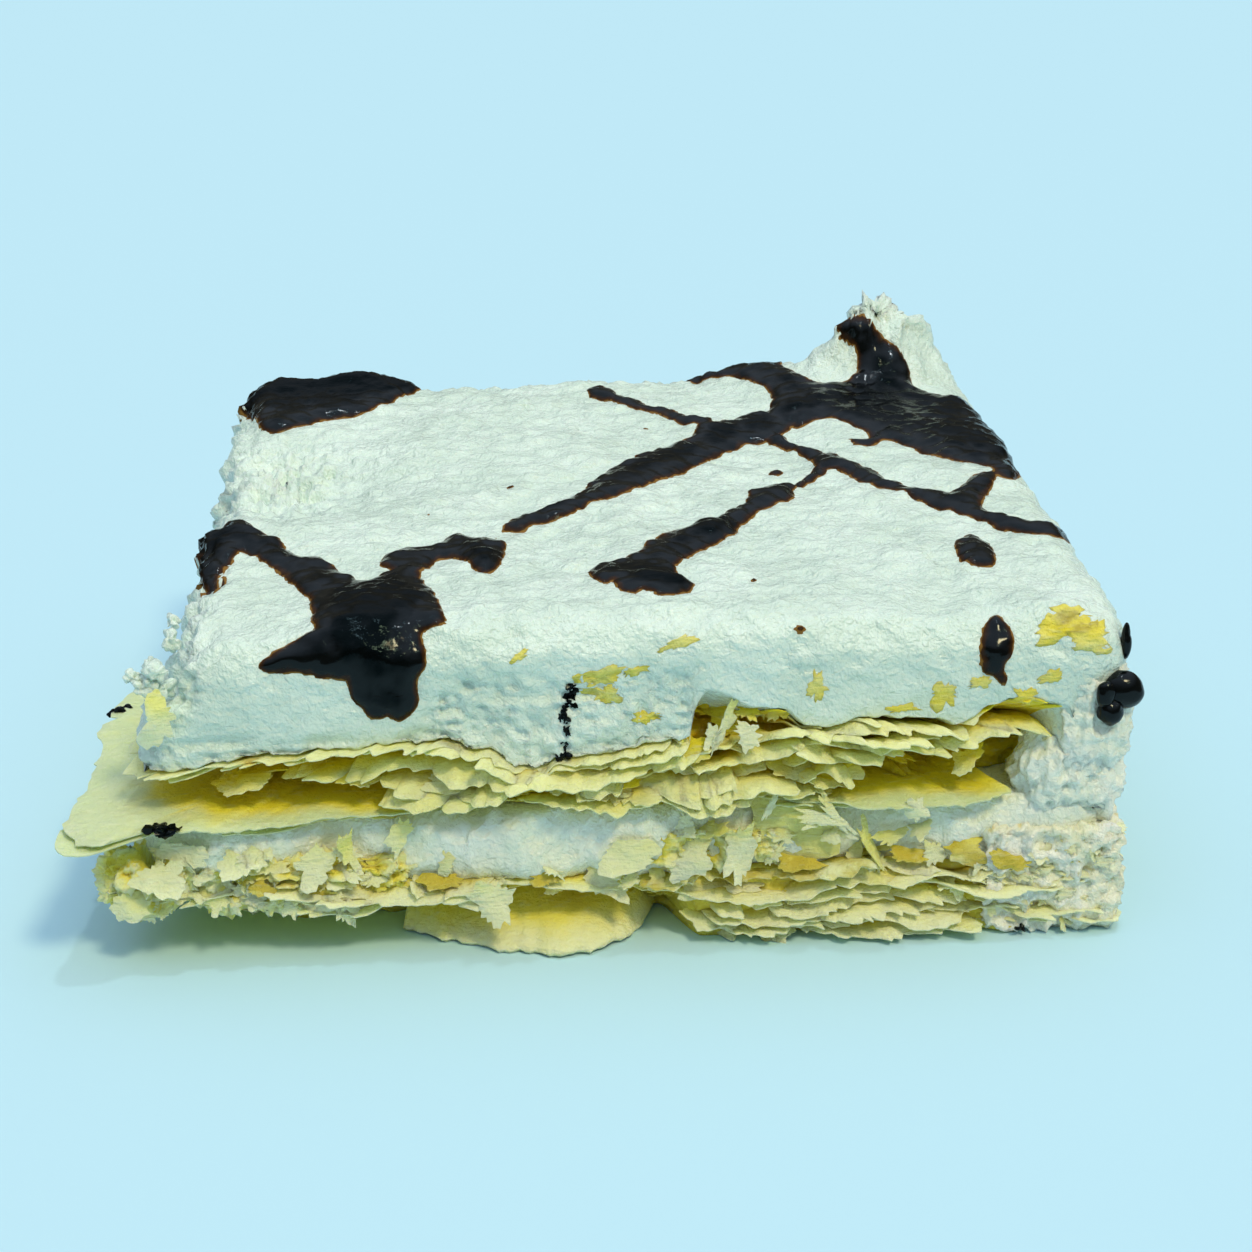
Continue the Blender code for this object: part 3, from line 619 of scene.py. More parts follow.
# Outlines of the chocolate on the topping laid flat: x and the run towards the back
drizzle = {
    "cell": 0.4,
    "height": 0.9,
    "ragged": 0.24,
    "sink": 0.5,                 # how far its underside lies in the cream
    "smoothing": 0.5,            # how much of the cream's relief it hides
    "outlines": {
        "back left": (
            (-49.5, 43.8), (-48.3, 46.0), (-43.7, 46.4), (-35.3, 46.4), (-29.9, 46.3), (-26.6, 45),
            (-25.3, 42.9), (-26.2, 40.4), (-27.4, 38.8), (-28.5, 36.7), (-29.7, 34.6), (-31.2, 32.9),
            (-32.4, 31), (-34.1, 30.2), (-36.2, 30), (-38.3, 28.8), (-39.7, 27.1), (-41.6, 25.7),
            (-43.3, 24.8), (-44.9, 25), (-46.2, 26.7), (-46.8, 30), (-48, 33.3), (-49.1, 37.5),
        ),
        "long stroke": (
            (-17.0, -21.6), (-16.2, -19.8), (-15.3, -16.7), (-13.5, -16.3), (-10.8, -14.2), (-7.8, -12.3),
            (-5.3, -9.3), (-2.7, -6.5), (-0.2, -4.6), (2.2, -1), (5.5, 2.5), (8.2, 6.3), (10.9, 10),
            (13.8, 13.6), (16.8, 16.3), (19.3, 17.1), (23, 21.3), (22.2, 25), (18.8, 26.7), (14.7, 24.2),
            (12.6, 23.2), (10.5, 21.3), (9.5, 17.9), (5.5, 14.2), (2.2, 10.8), (-0.8, 6.7),
            (-3.3, 3.3), (-4.9, 0), (-6.3, -4.2), (-8.7, -7.1), (-11.2, -9), (-13.5, -11.7),
            (-14.8, -14), (-15.7, -16.7),
        ),
        "thin arm": (
            (-2.8, 38.8), (-1.6, 39.2), (-0.3, 38.3), (1.3, 35.4), (3.4, 32.9), (5.1, 30.4), (7.2, 28.8),
            (8.4, 27.1), (9.8, 25.4), (12.6, 24.4), (12.4, 21.2), (9.6, 21.9), (7.6, 23.8), (6.3, 25.8),
            (4.7, 27.5), (2.6, 29.6), (1.3, 31.3), (-0.3, 33.8), (-2, 34.6), (-3, 36.3),
        ),
        "back band": (
            (10.6, 43.6), (12, 46.2), (18.8, 46.3), (23, 46.4), (25.1, 45.4), (24.4, 43.4), (24, 41.6),
            (25.1, 39.4), (25.9, 37.5), (27.2, 35), (29.3, 33.8), (30.1, 32.5), (30.1, 22.5),
            (25.5, 22.5), (22.2, 21.3), (20.1, 25), (20.5, 27.5), (21.3, 30), (21.3, 33.3),
            (20.1, 35.8), (18, 39.2), (15.9, 40.4), (13, 42),
        ),
        "right mass": (
            (23.4, 20.8), (26.3, 22.1), (28.4, 21.3), (30.5, 19.2), (32, 16.9), (31.6, 15), (29.3, 14.6),
            (30.2, 12.6), (31.8, 12.2), (33.8, 14.2), (35.5, 13.4), (37.2, 11.7), (38.4, 9.2),
            (40.1, 7.1), (42.2, 4.6), (44.3, 4.6), (45, 1.5), (45.1, -0.4), (46.3, -1.3), (47.4, -0.8),
            (48.4, 1.7), (49.3, 5), (49.9, 9), (50.1, 18), (49.8, 25), (49.0, 30.5), (47.5, 33.2),
            (45.2, 33.6), (42, 34.8), (41.2, 35.6), (40.9, 37.4), (38.6, 38.6), (36.8, 39.2),
            (35, 40.3), (32.8, 41), (31.4, 41.2), (31.8, 39.4), (33.4, 38), (33.6, 36.4), (32, 34.2),
            (29, 33.8), (24, 32), (22, 26),
        ),
        "right diagonal": (
            (18.8, 17.6), (21.3, 19), (21.8, 17.1), (23.4, 14.2), (25.5, 10.8), (27.2, 8.3), (29.3, 4.2),
            (31.3, 0.8), (33, -2.9), (35.1, -5.8), (37.6, -7.1), (39.7, -4.6), (42.2, -0.8), (45.1, 0.5),
            (44.2, -3.3), (43, -6.7), (41.8, -9.2), (40.9, -12.1), (42.2, -14.2), (44.3, -16.3),
            (46.8, -17.3), (48.6, -16.9), (49.8, -15), (50.1, -17.5), (49.3, -20), (47.6, -21.6),
            (45.9, -21.5), (43.8, -20.4), (41.3, -18.8), (40.1, -16.7), (37.6, -14.2), (35.5, -12.1),
            (33.8, -9.2), (31.3, -5.8), (29.3, -3.3), (27.6, 0), (26.8, 2.6), (25.2, 3.4), (23.8, 4.4),
            (23.6, 6.4), (23.4, 9), (22.2, 12.3), (20.5, 15),
        ),
        "middle drop": (
            (23.6, 5.4), (22.2, 2.6), (20.5, -0.1), (19.3, -1.3), (17.6, -1.7), (15.9, -2.9),
            (14.3, -4.6), (13.4, -7.5), (12.2, -10), (10.5, -11.7), (8.4, -13.8), (6.8, -15),
            (5.5, -16.7), (3.8, -17.9), (2.6, -19.6), (1.3, -21.7), (0.1, -23.8), (-0.2, -25.4),
            (-2.4, -27.5), (-4.5, -28.3), (-6.2, -29.6), (-6.6, -32.1), (-6.2, -34.2), (-4.9, -35.8),
            (-4.1, -35), (-3.7, -37.1), (-2, -38.8), (-1.2, -37.9), (0.4, -39.2), (2.2, -39.6),
            (3.4, -38.3), (4.7, -35.8), (4.5, -33.8), (3.4, -32.1), (3.2, -30), (3.8, -28.8),
            (5.5, -25.4), (6.8, -23.8), (8.4, -21.7), (10.1, -20), (11.3, -18.3), (11.8, -15.8),
            (13.4, -13.8), (14.7, -11.7), (16.3, -10.4), (18, -8.8), (19.5, -6.7), (19.7, -4.6),
            (20.9, -2.1), (23.0, 0.8), (24.9, 3.4),
        ),
        "right spot": (
            (37.6, -20.4), (38.8, -21.7), (39.5, -23.8), (39.3, -26.7), (38.8, -29.2), (38, -30.8),
            (36.3, -31.3), (35.1, -30.4), (34.7, -27.5), (35.1, -25), (35.9, -22.5),
        ),
        "front right drip": (
            (35.5, -43.1), (36.7, -44.2), (37.4, -46.3), (37.0, -48.3), (36.2, -49.6), (36.9, -50.4),
            (36.4, -51.3), (35.3, -50.4), (34.1, -49.8), (33.6, -47.8), (34.1, -45.4),
        ),
        "left leg and front flow": (
            (-50.1, -14.6), (-49.9, -20), (-49.1, -25), (-48.3, -29.6), (-47.4, -29.2), (-46.6, -26.3),
            (-45.8, -23.3), (-44.9, -21.3), (-44.5, -20.4), (-43.3, -22.1), (-42, -24.2), (-39.9, -27.1),
            (-38.7, -30), (-37.4, -32.5), (-36.6, -35), (-36.3, -38.3), (-36, -41.7), (-35.8, -43.8),
            (-37.8, -44.8), (-39.7, -45.8), (-41.2, -47.3), (-39.7, -48.3), (-37, -48.8), (-34.5, -49.6),
            (-32.4, -50), (-32, -51.7), (-30.8, -53.3), (-29.9, -54.2), (-28.3, -54), (-27, -54.6),
            (-25.8, -53.8), (-24.9, -52.1), (-24.9, -49.6), (-24.1, -48.8), (-24.1, -46.7),
            (-24.5, -45), (-22, -44.2), (-22.4, -40.8), (-22.8, -37.5), (-23.3, -35), (-24.1, -32.5),
            (-24.5, -30), (-23.7, -27.9), (-23.3, -25.4), (-21.6, -25), (-19.9, -26.3), (-19.5, -28.3),
            (-18.7, -30), (-17.4, -30.8), (-16.2, -29.2), (-15.5, -26.7), (-15.3, -23.3), (-15.5, -20.4),
            (-17, -19.6), (-19.1, -18.3), (-20.8, -16.5), (-22, -17.9), (-22.8, -20), (-25.3, -20.7),
            (-27, -21.7), (-28.7, -23.3), (-29.3, -24.6), (-29.1, -26.7), (-27.8, -27.9), (-29.1, -29.2),
            (-30.2, -30.2), (-31.6, -29.6), (-32.8, -27.9), (-34.1, -25.8), (-34.9, -23.8),
            (-36.6, -22.5), (-38.3, -21.3), (-39.5, -20), (-40.3, -17.9), (-42.4, -15.8), (-44.1, -13.8),
            (-45.8, -12.9), (-47.4, -13.6), (-48.7, -13.4),
        ),
        "left streak": ((-46.3, -26.8), (-45.9, -27.8), (-46.3, -30.2), (-47.1, -31.6), (-47.0, -29.4)),
    },
    # x, run and radius
    "specks": (
        (18.7, 4.6, 0.95), (-14.1, -0.7, 0.55), (-15.9, -5.7, 0.35), (3.9, 21.3, 0.5), (11.3, -34, 0.25),
        (14.7, -45.8, 0.6), (-24.0, -10.0, 0.22), (30.0, 12.5, 0.7),
    ),
    # drops on the front right corner: x, y, z and three radii
    "drops": (
        (49.3, -45.7, 28.1, 2.3, 1.8, 2.1), (48.0, -46.8, 26.0, 1.5, 1.1, 1.5),
        (47.3, -46.9, 28.0, 1.0, 0.8, 1.5), (49.9, -43.8, 33.2, 0.55, 0.8, 1.9),
        (50.0, -43.6, 22.6, 0.5, 0.5, 0.6),
    ),
    # thick places: x, run, rise and two reaches
    "swellings": (
        (-44.6, 42.4, 1.5, 4.2, 2.6), (-34.0, 42.4, 1.8, 6.0, 2.6), (1.4, -35.4, 0.7, 3.0, 2.2),
        (-17.4, -27.0, 0.5, 2.2, 2.2), (-29.5, -37.0, 0.6, 4.0, 3.0), (-28.5, -51.0, 0.6, 3.0, 2.4),
        (8.0, -18.0, 0.3, 2.6, 3.6),
    ),
}


def smoothOutline(points, step=0.8):
    # A closed curve through these points.
    points = np.asarray(points, float)
    made = []
    for p0, p1, p2, p3 in zip(np.roll(points, 1, 0), points, np.roll(points, -1, 0),
                              np.roll(points, -2, 0)):
        count = max(2, int(np.hypot(*(p2 - p1)) / step))
        t = (np.arange(count) / count)[:, None]
        made.append(0.5 * (2 * p1 + (p2 - p0) * t + (2 * p0 - 5 * p1 + 4 * p2 - p3) * t**2
                           + (3 * p1 - p0 - 3 * p2 + p3) * t**3))
    return np.concatenate(made)


def depthInside(outline, x, run):
    # Distance to a closed outline, above 0 inside it.
    nearest = np.full(x.shape, 1e9)
    inside = np.zeros(x.shape, bool)
    for (x0, y0), (x1, y1) in zip(outline, np.roll(outline, -1, 0)):
        dx, dy = x1 - x0, y1 - y0
        share = np.clip(((x - x0) * dx + (run - y0) * dy) / max(dx * dx + dy * dy, 1e-12), 0, 1)
        nearest = np.minimum(nearest, (x - x0 - share * dx) ** 2 + (run - y0 - share * dy) ** 2)
        if y0 != y1:
            inside ^= ((y0 > run) != (y1 > run)) & (x < dx * (run - y0) / dy + x0)
    return np.where(inside, 1, -1) * np.sqrt(nearest)


def fillDiagonals(mask):
    # Adds a cell wherever two kept cells touch at a corner only.
    while True:
        a, b = mask[:-1, :-1], mask[1:, 1:]
        c, d = mask[:-1, 1:], mask[1:, :-1]
        lone = (a & b & ~c & ~d) | (~a & ~b & c & d)
        if not lone.any():
            return mask
        mask[:-1, :-1] |= lone
        mask[1:, 1:] |= lone
        mask[:-1, 1:] |= lone


def slabFromMask(mask, top, bottom):
    # A closed skin over the kept cells of a grid, between its top and bottom points.
    rows, columns = mask.shape
    number = np.arange((rows + 1) * (columns + 1)).reshape(rows + 1, columns + 1)
    low = number + number.size
    j, i = np.nonzero(mask)
    faces = np.stack([number[j, i], number[j, i + 1], number[j + 1, i + 1], number[j + 1, i]], axis=-1)
    faces = [faces, np.stack([low[j, i], low[j + 1, i], low[j + 1, i + 1], low[j, i + 1]], axis=-1)]
    framed = np.pad(mask, 1)
    sides = (
        (framed[:-2, 1:-1], (0, 0), (0, 1)), (framed[2:, 1:-1], (1, 1), (1, 0)),
        (framed[1:-1, :-2], (1, 0), (0, 0)), (framed[1:-1, 2:], (0, 1), (1, 1)),
    )
    for beside, (j0, i0), (j1, i1) in sides:
        j, i = np.nonzero(mask & ~beside)
        first, second = (j + j0, i + i0), (j + j1, i + i1)
        faces.append(np.stack([number[second], number[first], low[first], low[second]], axis=-1))
    faces = np.concatenate(faces)
    used, compact = np.unique(faces, return_inverse=True)
    points = np.concatenate([top.reshape(-1, 3), bottom.reshape(-1, 3)])[used]
    return points, compact.reshape(faces.shape).tolist(), used


def layOnTopping(shape, within, height, xs, runs):
    # Covers the topping where within(x, run), the distance to the edge in mm, is above 0.
    cell, sink = drizzle["cell"], drizzle["sink"]
    x, run = np.meshgrid(np.arange(*xs, cell), np.arange(*runs, cell))
    base = draped(x, run)
    flat = base.reshape(-1, 3)
    faces = gridFaces(*x.shape)
    normals = skinNormals(flat, faces)
    relief = creamRelief(flat)
    inside = within(x, run).reshape(-1)
    thick = np.where(inside > 0, height(np.maximum(inside, 0), flat), 0.0)
    follow = 1 - drizzle["smoothing"] * ease(inside / 1.5)
    dive = -sink * ease(-inside / (1.2 * cell)) - 0.02
    top = flat + normals * (relief * follow + np.where(inside > 0, thick, dive))[:, None]
    bottom = flat + normals * (relief - sink - 0.25)[:, None]
    corners = inside.reshape(x.shape)
    most = np.maximum(corners[:-1], corners[1:])
    most = np.maximum(most[:, :-1], most[:, 1:])
    mask = fillDiagonals(most > -0.35)
    points, faces, used = slabFromMask(mask, top, bottom)
    shape.add(points, faces, thickness=np.tile(thick, 2)[used])


def makeDrizzle(material):
    outlines = [smoothOutline(points) for points in drizzle["outlines"].values()]

    def within(x, run):
        nearest = np.full(x.shape, -9.0)
        for outline in outlines:
            (left, near), (right, far) = outline.min(axis=0) - 1.6, outline.max(axis=0) + 1.6
            rowsUsed = np.nonzero((run[:, 0] > near) & (run[:, 0] < far))[0]
            columnsUsed = np.nonzero((x[0] > left) & (x[0] < right))[0]
            part = np.s_[rowsUsed[0]:rowsUsed[-1] + 1, columnsUsed[0]:columnsUsed[-1] + 1]
            nearest[part] = np.maximum(nearest[part], depthInside(outline, x[part], run[part]))
        for px, py, half in drizzle["specks"]:
            nearest = np.maximum(nearest, half - np.hypot(x - px, run - py))
        flat = stack(x, run, 0 * x).reshape(-1, 3)
        uneven = 0.7 * ripple(flat, 1.3, 41) + 0.5 * ripple(flat, 3.5, 43)
        weight = np.clip(nearest + 1.0, 0.15, 1)
        return nearest + drizzle["ragged"] * weight * uneven.reshape(x.shape)

    def height(inside, flat):
        body = drizzle["height"] * (1 - np.exp(-inside / 0.9)) * (0.75 + 0.25 * ease(inside / 4))
        for px, run, rise, across, along in drizzle["swellings"]:
            hill = np.exp(-((flat[:, 0] - px) / across) ** 2 - ((flat[:, 1] - run) / along) ** 2)
            body = body + rise * hill.reshape(body.shape) * ease(inside / 1.8)
        bumps = 0.16 * ripple(flat, 2.2, 47) + 0.1 * lumps(flat, 1.1, 49)
        return np.maximum(body + bumps * ease(inside / 1.2), 0.03)

    shape = Shape()
    layOnTopping(shape, within, height, (-50.3, 50.3), (-57, 46.3))
    for x, y, z, *radii in drizzle["drops"]:
        addLump(shape, (x, y, z), radii, 12, 0.14, 51, thickness=0.6)
    piece = shape.make("chocolateDrizzle", material)
    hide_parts("cream_topping")


def cubeBall(count):
    # Points and quads of a ball made from a cube with this many cells along an edge.
    grid = np.tan(np.linspace(-1, 1, count + 1) * math.pi / 4)
    u, v = np.meshgrid(grid, grid)
    one = np.ones_like(u)
    sides = ((u, v, one), (v, u, -one), (one, u, v), (-one, v, u), (v, one, u), (u, -one, v))
    points = np.concatenate([stack(*side).reshape(-1, 3) for side in sides])
    points /= np.linalg.norm(points, axis=1, keepdims=True)
    faces = np.concatenate([gridFaces(count + 1, count + 1, start=k * (count + 1) ** 2) for k in range(6)])
    keys = np.round(points * 1e5).astype(np.int64)
    _, first, again = np.unique(keys, axis=0, return_index=True, return_inverse=True)
    return points[first], again.reshape(-1)[faces]


ballCache = {}


def addLump(shape, middle, radii, count, uneven, seed, roundness=1.0, **fields):
    # Adds an uneven lump: a ball at roundness 1, nearer to a box below that.
    if count not in ballCache:
        ballCache[count] = cubeBall(count)
    ball, faces = ballCache[count]
    ball = ball / np.maximum(np.abs(ball).max(axis=1, keepdims=True), 1e-9) ** (1 - roundness)
    points = ball * radii + middle
    grow = uneven * ripple(points + seed * 3.7, 0.84 * max(radii), seed)
    points = np.asarray(middle) + (points - middle) * (1 + grow / max(min(radii), 0.3))[:, None]
    shape.add(points, faces.tolist(), **fields)


# Where the points of a leaf lie from its torn edge inwards, in mm
leafDepths = np.array([0, 0.3, 0.8, 1.5, 2.5, 3.9, 5.8, 9.0, 14.0])


def perimeterRun(turn):
    # Millimetres along the slab's edge for each of these turns.
    x, y = insetPoint(turn, 0.0)
    steps = np.hypot(np.diff(x, append=x[:1]), np.diff(y, append=y[:1]))
    return np.concatenate([[0], np.cumsum(steps)[:-1]]), steps.sum()


def tornEdge(run, total, chance, spacing, amount):
    # A ragged line: straight from each random point to the next.
    knots = [0.0]
    while knots[-1] < total:
        knots.append(knots[-1] + chance.uniform(*spacing))
    values = chance.uniform(-amount, amount, len(knots))
    values[-1] = values[0]
    return np.interp(run, knots, values)


def bites(run, total, chance, count, widths, depths):
    # Missing pieces: how much of the leaf has broken off at each place.
    missing = np.zeros_like(run)
    for _ in range(count):
        middle, width, depth = chance.uniform(0, total), chance.uniform(*widths), chance.uniform(*depths)
        away = np.abs((run - middle + total / 2) % total - total / 2)
        missing = np.maximum(missing, depth * np.clip((width / 2 - away) / 0.5, 0, 1))
    return missing


def brokenPlates(run, total, chance, widths):
    # Three values from -1 to 1 that stay the same over each plate, and the cracks between plates.
    edges = [0.0]
    while edges[-1] < total - widths[1]:
        edges.append(edges[-1] + widths[0] + (widths[1] - widths[0]) * chance.uniform() ** 1.5)
    edges = np.array(edges)
    number = np.searchsorted(edges, run, side="right") - 1
    values = chance.uniform(-1, 1, (3, len(edges)))[:, number]
    depths = chance.uniform(0.2, 2.6, len(edges)) * (chance.uniform(size=len(edges)) < 0.4)
    away = np.abs(run[:, None] - edges[None, :])
    cracks = (depths * np.clip(1 - away / 0.45, 0, 1)).max(axis=1)
    return (*values, cracks)


def addLeaf(shape, seed, sideHeight, reaches, frontHeights=None, under=None, thickness=0.4,
            gapPull=0.0, spread=False, clearsCorner=False, bitten=14, wave=0.5, browning=0.0,
            floor=None, curl=0.5, droop=1.0, unevenReach=1.0, leftEdge=None, flares=0.0,
            teeth=1.0, paintedHollowShade=((0, 0),)):
    # Adds one leaf that runs round the whole slice, torn along its outer edge.
    rootInset = leafDepths[-1]
    chance = np.random.default_rng(seed)
    turn = sideTurns()
    run, total = perimeterRun(turn)
    x, y = insetPoint(turn, 0.0)
    edge = stack(x, y, 0 * x)
    front = frontShare(y)
    reach = 0.4 + 0.9 * ripple(edge, 11, seed)
    scallops = unevenReach * (1.5 * ripple(edge, 13, seed + 5) + 0.7 * ripple(edge, 4.5, seed + 7))
    plateReach, plateLift, plateDroop, cracks = brokenPlates(run, total, chance, (3, 20))
    inFront = front
    if leftEdge:
        left = x < -halfWidth + 0.8
        reach = np.where(left, readAlong(leftEdge, y), reach)
        inFront = front * ~left
    reach += (readAlong(reaches, x) - reach) * inFront
    if clearsCorner:
        reach -= (11 + reach) * ease((-y - 30) / 7) * (1 - front) * (x > 0)
    reach -= gapPull * leftGap(x, y)
    reach += np.minimum(scallops + 0.9 * unevenReach * plateReach, 1.2)
    fineTeeth = tornEdge(run, total, chance, (0.3, 1.1), 0.7)
    reach += teeth * (fineTeeth + tornEdge(run, total, chance, (1.2, 4), 0.9))
    reach -= bites(run, total, chance, bitten, (2.0, 11.0), (0.8, 4.2)) + cracks
    reach = np.clip(reach, 3 - rootInset, 12.5)

    depths = leafDepths / rootInset
    insets = -reach[:, None] + depths[None, :] * (rootInset + reach)[:, None]
    inward = insets + reach[:, None]
    px, py = insetPoint(turn[:, None], insets)
    if spread:
        px = px - leftSpread(px, py)
    flat = stack(px, py, 0 * px).reshape(-1, 3)
    height = sideHeight + 0.35 * ripple(edge, 16, seed + 20)
    if frontHeights is not None:
        height += (readAlong(frontHeights, x) - height) * front
    height = height + 0.28 * unevenReach * plateLift
    rootBlend = ease(inward / 9.0)
    z = height[:, None] * (1 - rootBlend) + sideHeight * rootBlend
    if under is not None:
        z = np.stack([creamBottom(turn, np.maximum(0, inset)) for inset in insets.T], axis=1)
        z = z - under
    common = wave * 1.5 * ripple(flat + np.outer(z.reshape(-1), (0, 0, 1.7)), 8.5, 300)
    own = wave * (0.7 * ripple(flat, 5.5, seed + 40) + 0.35 * ripple(flat, 2.2, seed + 60))
    lift = curl * ripple(edge, 6, seed + 80)
    bend = droop * np.clip(1.0 + 0.9 * plateDroop + 0.6 * ripple(edge, 8, seed + 85), 0, 2.4)
    z = z + (common + own).reshape(z.shape) * (0.35 + 0.65 * np.exp(-inward / 7))
    z = z + lift[:, None] * np.exp(-inward / 1.8) + bend[:, None] * (1 - np.exp(-inward / 2.2))
    if floor is not None:
        z = np.maximum(z, floor + thickness / 2 + 0.02)
    px = px - flares * leftFlare(stack(px, py, z))
    points = stack(px, py, z).reshape(-1, 3)
    rows, columns = z.shape
    middle = points.reshape(rows, columns, 3).transpose(1, 0, 2)
    skin = middle.reshape(-1, 3)
    skin[:, 2] += 0.07 * ripple(skin * (1, 1, 0.4), 1.3, seed + 90, 2)
    if floor is not None:
        skin[:, 2] = np.maximum(skin[:, 2], floor + thickness / 2 + 0.02)
    faces = gridFaces(columns, rows, wrap=True)
    normals = skinNormals(skin, faces)
    if normals[:, 2].mean() < 0:
        normals = -normals
    half = thickness / 2 * (0.4 + 0.6 * ease(inward / 1.5)).T.reshape(-1, 1)
    top, bottom = skin + normals * half, skin - normals * half
    if floor is not None:
        bottom[:, 2] = np.maximum(bottom[:, 2], floor)
    size = rows * columns
    faces = faces + gridFaces(columns, rows, wrap=True, flip=True, start=size)
    outer, inner = np.arange(rows), (columns - 1) * rows + np.arange(rows)
    for ring, turned in ((outer, False), (inner, True)):
        after = np.roll(ring, -1)
        quads = np.stack([ring, ring + size, after + size, after], axis=-1)
        faces.extend((quads[:, ::-1] if turned else quads).tolist())
    # Painted shade: the depth of colour grows with how far a point lies inside the slab's face and in from
    # the torn edge, with more added in the arch and the hollow at the right.
    hollowShading = (readAlong(paintedHollowShade, x) * front)[:, None]
    depth = hollowShading + 0.65 * np.maximum(insets, 0) + 0.3 * inward * (insets > -1.5)
    depth = np.tile(depth.T.reshape(-1), 2)
    shape.add(np.concatenate([top, bottom]), faces, depth=depth, browning=browning)


upperLeaves = {
    "paleColour": (0.91, 0.91, 0.43),
    # painted shade: the deeper yellow of the hollows
    "paintedShadeColour": (0.93, 0.71, 0.03),
    "brownColour": (0.62, 0.36, 0.03),
    "brownShare": 0.7,
    "leaves": (
        dict(seed=101, sideHeight=22.9, under=0.3, thickness=0.3, gapPull=0.3, droop=0.0, unevenReach=0.3,
             curl=0.15, wave=0.06, flares=1.0, browning=0.35,
             # painted shade in the arch and the hollow at the right: x and extra depth of colour
             paintedHollowShade=((2, 0), (3.6, 6), (12, 6), (14, 0), (34, 0), (36, 6), (43, 6), (45, 0)),
             reaches=((-52, 0.8), (-40, 1.4), (-20, 0.8), (0, 0.6), (3, 0.3), (4.6, 0.1), (12.5, 0.1),
                      (15, 0.6), (20, 1.0), (33, 0.6), (35, 0.1), (43, 0.0), (44.5, -5.0), (46, -11.0),
                      (52, -11.0))),
        dict(seed=102, sideHeight=22.2, under=1.0, thickness=0.34, gapPull=0.6, droop=0.5, unevenReach=0.6,
             curl=0.3, wave=0.2, flares=1.0, browning=0.2, bitten=22,
             reaches=((-52, 0.2), (-46, 2.0), (-38, 1.0), (-30, -0.4), (-20, 1.4), (0, 1.4), (3, 0.6),
                      (5, -5.0), (12, -4.0), (15, 1.0), (20, 0.4), (32, 1.4), (35, -4.0), (41, -5.0),
                      (44, -11.0), (52, -11.0))),
        dict(seed=103, sideHeight=21.0, thickness=0.4, gapPull=3.0,
             frontHeights=((-52, 17.9), (-46, 19.2), (-40, 20.9), (-30, 20.9), (-22, 19.8), (-14, 19.4),
                           (-6, 19.2), (0, 20.6), (5, 22.4), (10, 23.4), (14, 24.2), (20, 23.6), (30, 24.0),
                           (36, 24.4), (42, 24.2), (52, 21.4)),
             reaches=((-52, -2.5), (-38, -1.5), (-32, 0.0), (-16, 1.6), (4, 1.0), (8, 0.4), (14, 1.6),
                      (30, 1.2), (36, 0.2), (42, -0.4), (44.5, -4.0), (46.0, -11.0), (52, -11.0))),
        dict(seed=104, sideHeight=20.1, thickness=0.38, gapPull=8.0,
             frontHeights=((-52, 17.6), (-40, 20.0), (-33, 20.2), (-24, 18.8), (-12, 18.4),
                           (-3, 18.6), (6, 20.8), (14, 22.8), (22, 22.4), (30, 23.0), (36, 23.6),
                           (52, 20.4)),
             reaches=((-52, -9.0), (-38, -8.0), (-31, -1.0), (-22, 1.8), (-12, 0.4), (-4, 1.8), (8, 1.2),
                      (18, 1.8), (28, 0.6), (36, 0.4), (40, -1.0), (42, -8.0), (44, -11.0), (52, -11.0))),
        dict(seed=105, sideHeight=19.6, thickness=0.4, gapPull=12.0, curl=0.8,
             frontHeights=((-52, 17.2), (-34, 18.6), (-29, 17.4), (-16, 17.2), (-11, 17.8), (-4, 17.0),
                           (5, 18.8), (14, 20.6), (24, 21.0), (30, 21.6), (36, 21.6), (52, 18.8)),
             reaches=((-52, -12.0), (-38, -11.0), (-32, -8.0), (-30, 0.6), (-16, 1.4), (-14, -3.0),
                      (-10, 0.6), (8, 1.0), (18, 1.4), (26, 0.4), (30, -5.0), (38, -8.0), (42, -11.0),
                      (52, -11.0))),
        dict(seed=106, sideHeight=18.4, thickness=0.38, gapPull=12.0,
             frontHeights=((-52, 16.6), (-30, 17.3), (-18, 16.9), (0, 17.6), (8, 18.0), (16, 18.6),
                           (24, 19.4), (36, 18.4), (52, 17.8)),
             reaches=((-52, -12.0), (-30, -11.0), (-26, -2.0), (-20, 0.6), (-8, -2.0), (2, 1.6), (12, 1.6),
                      (22, 1.0), (27, -4.0), (38, -9.0), (42, -11.0), (52, -11.0))),
        dict(seed=107, sideHeight=17.4, thickness=0.36, gapPull=12.0,
             frontHeights=((-52, 16.4), (-20, 16.6), (0, 16.4), (10, 17.0), (24, 17.4), (52, 17.0)),
             reaches=((-52, -12.0), (-24, -11.0), (-12, 0.4), (-2, 0.2), (4, 1.2), (16, 1.8), (24, 0.8),
                      (30, -4.0), (40, -9.0), (52, -11.0))),
    ),
}

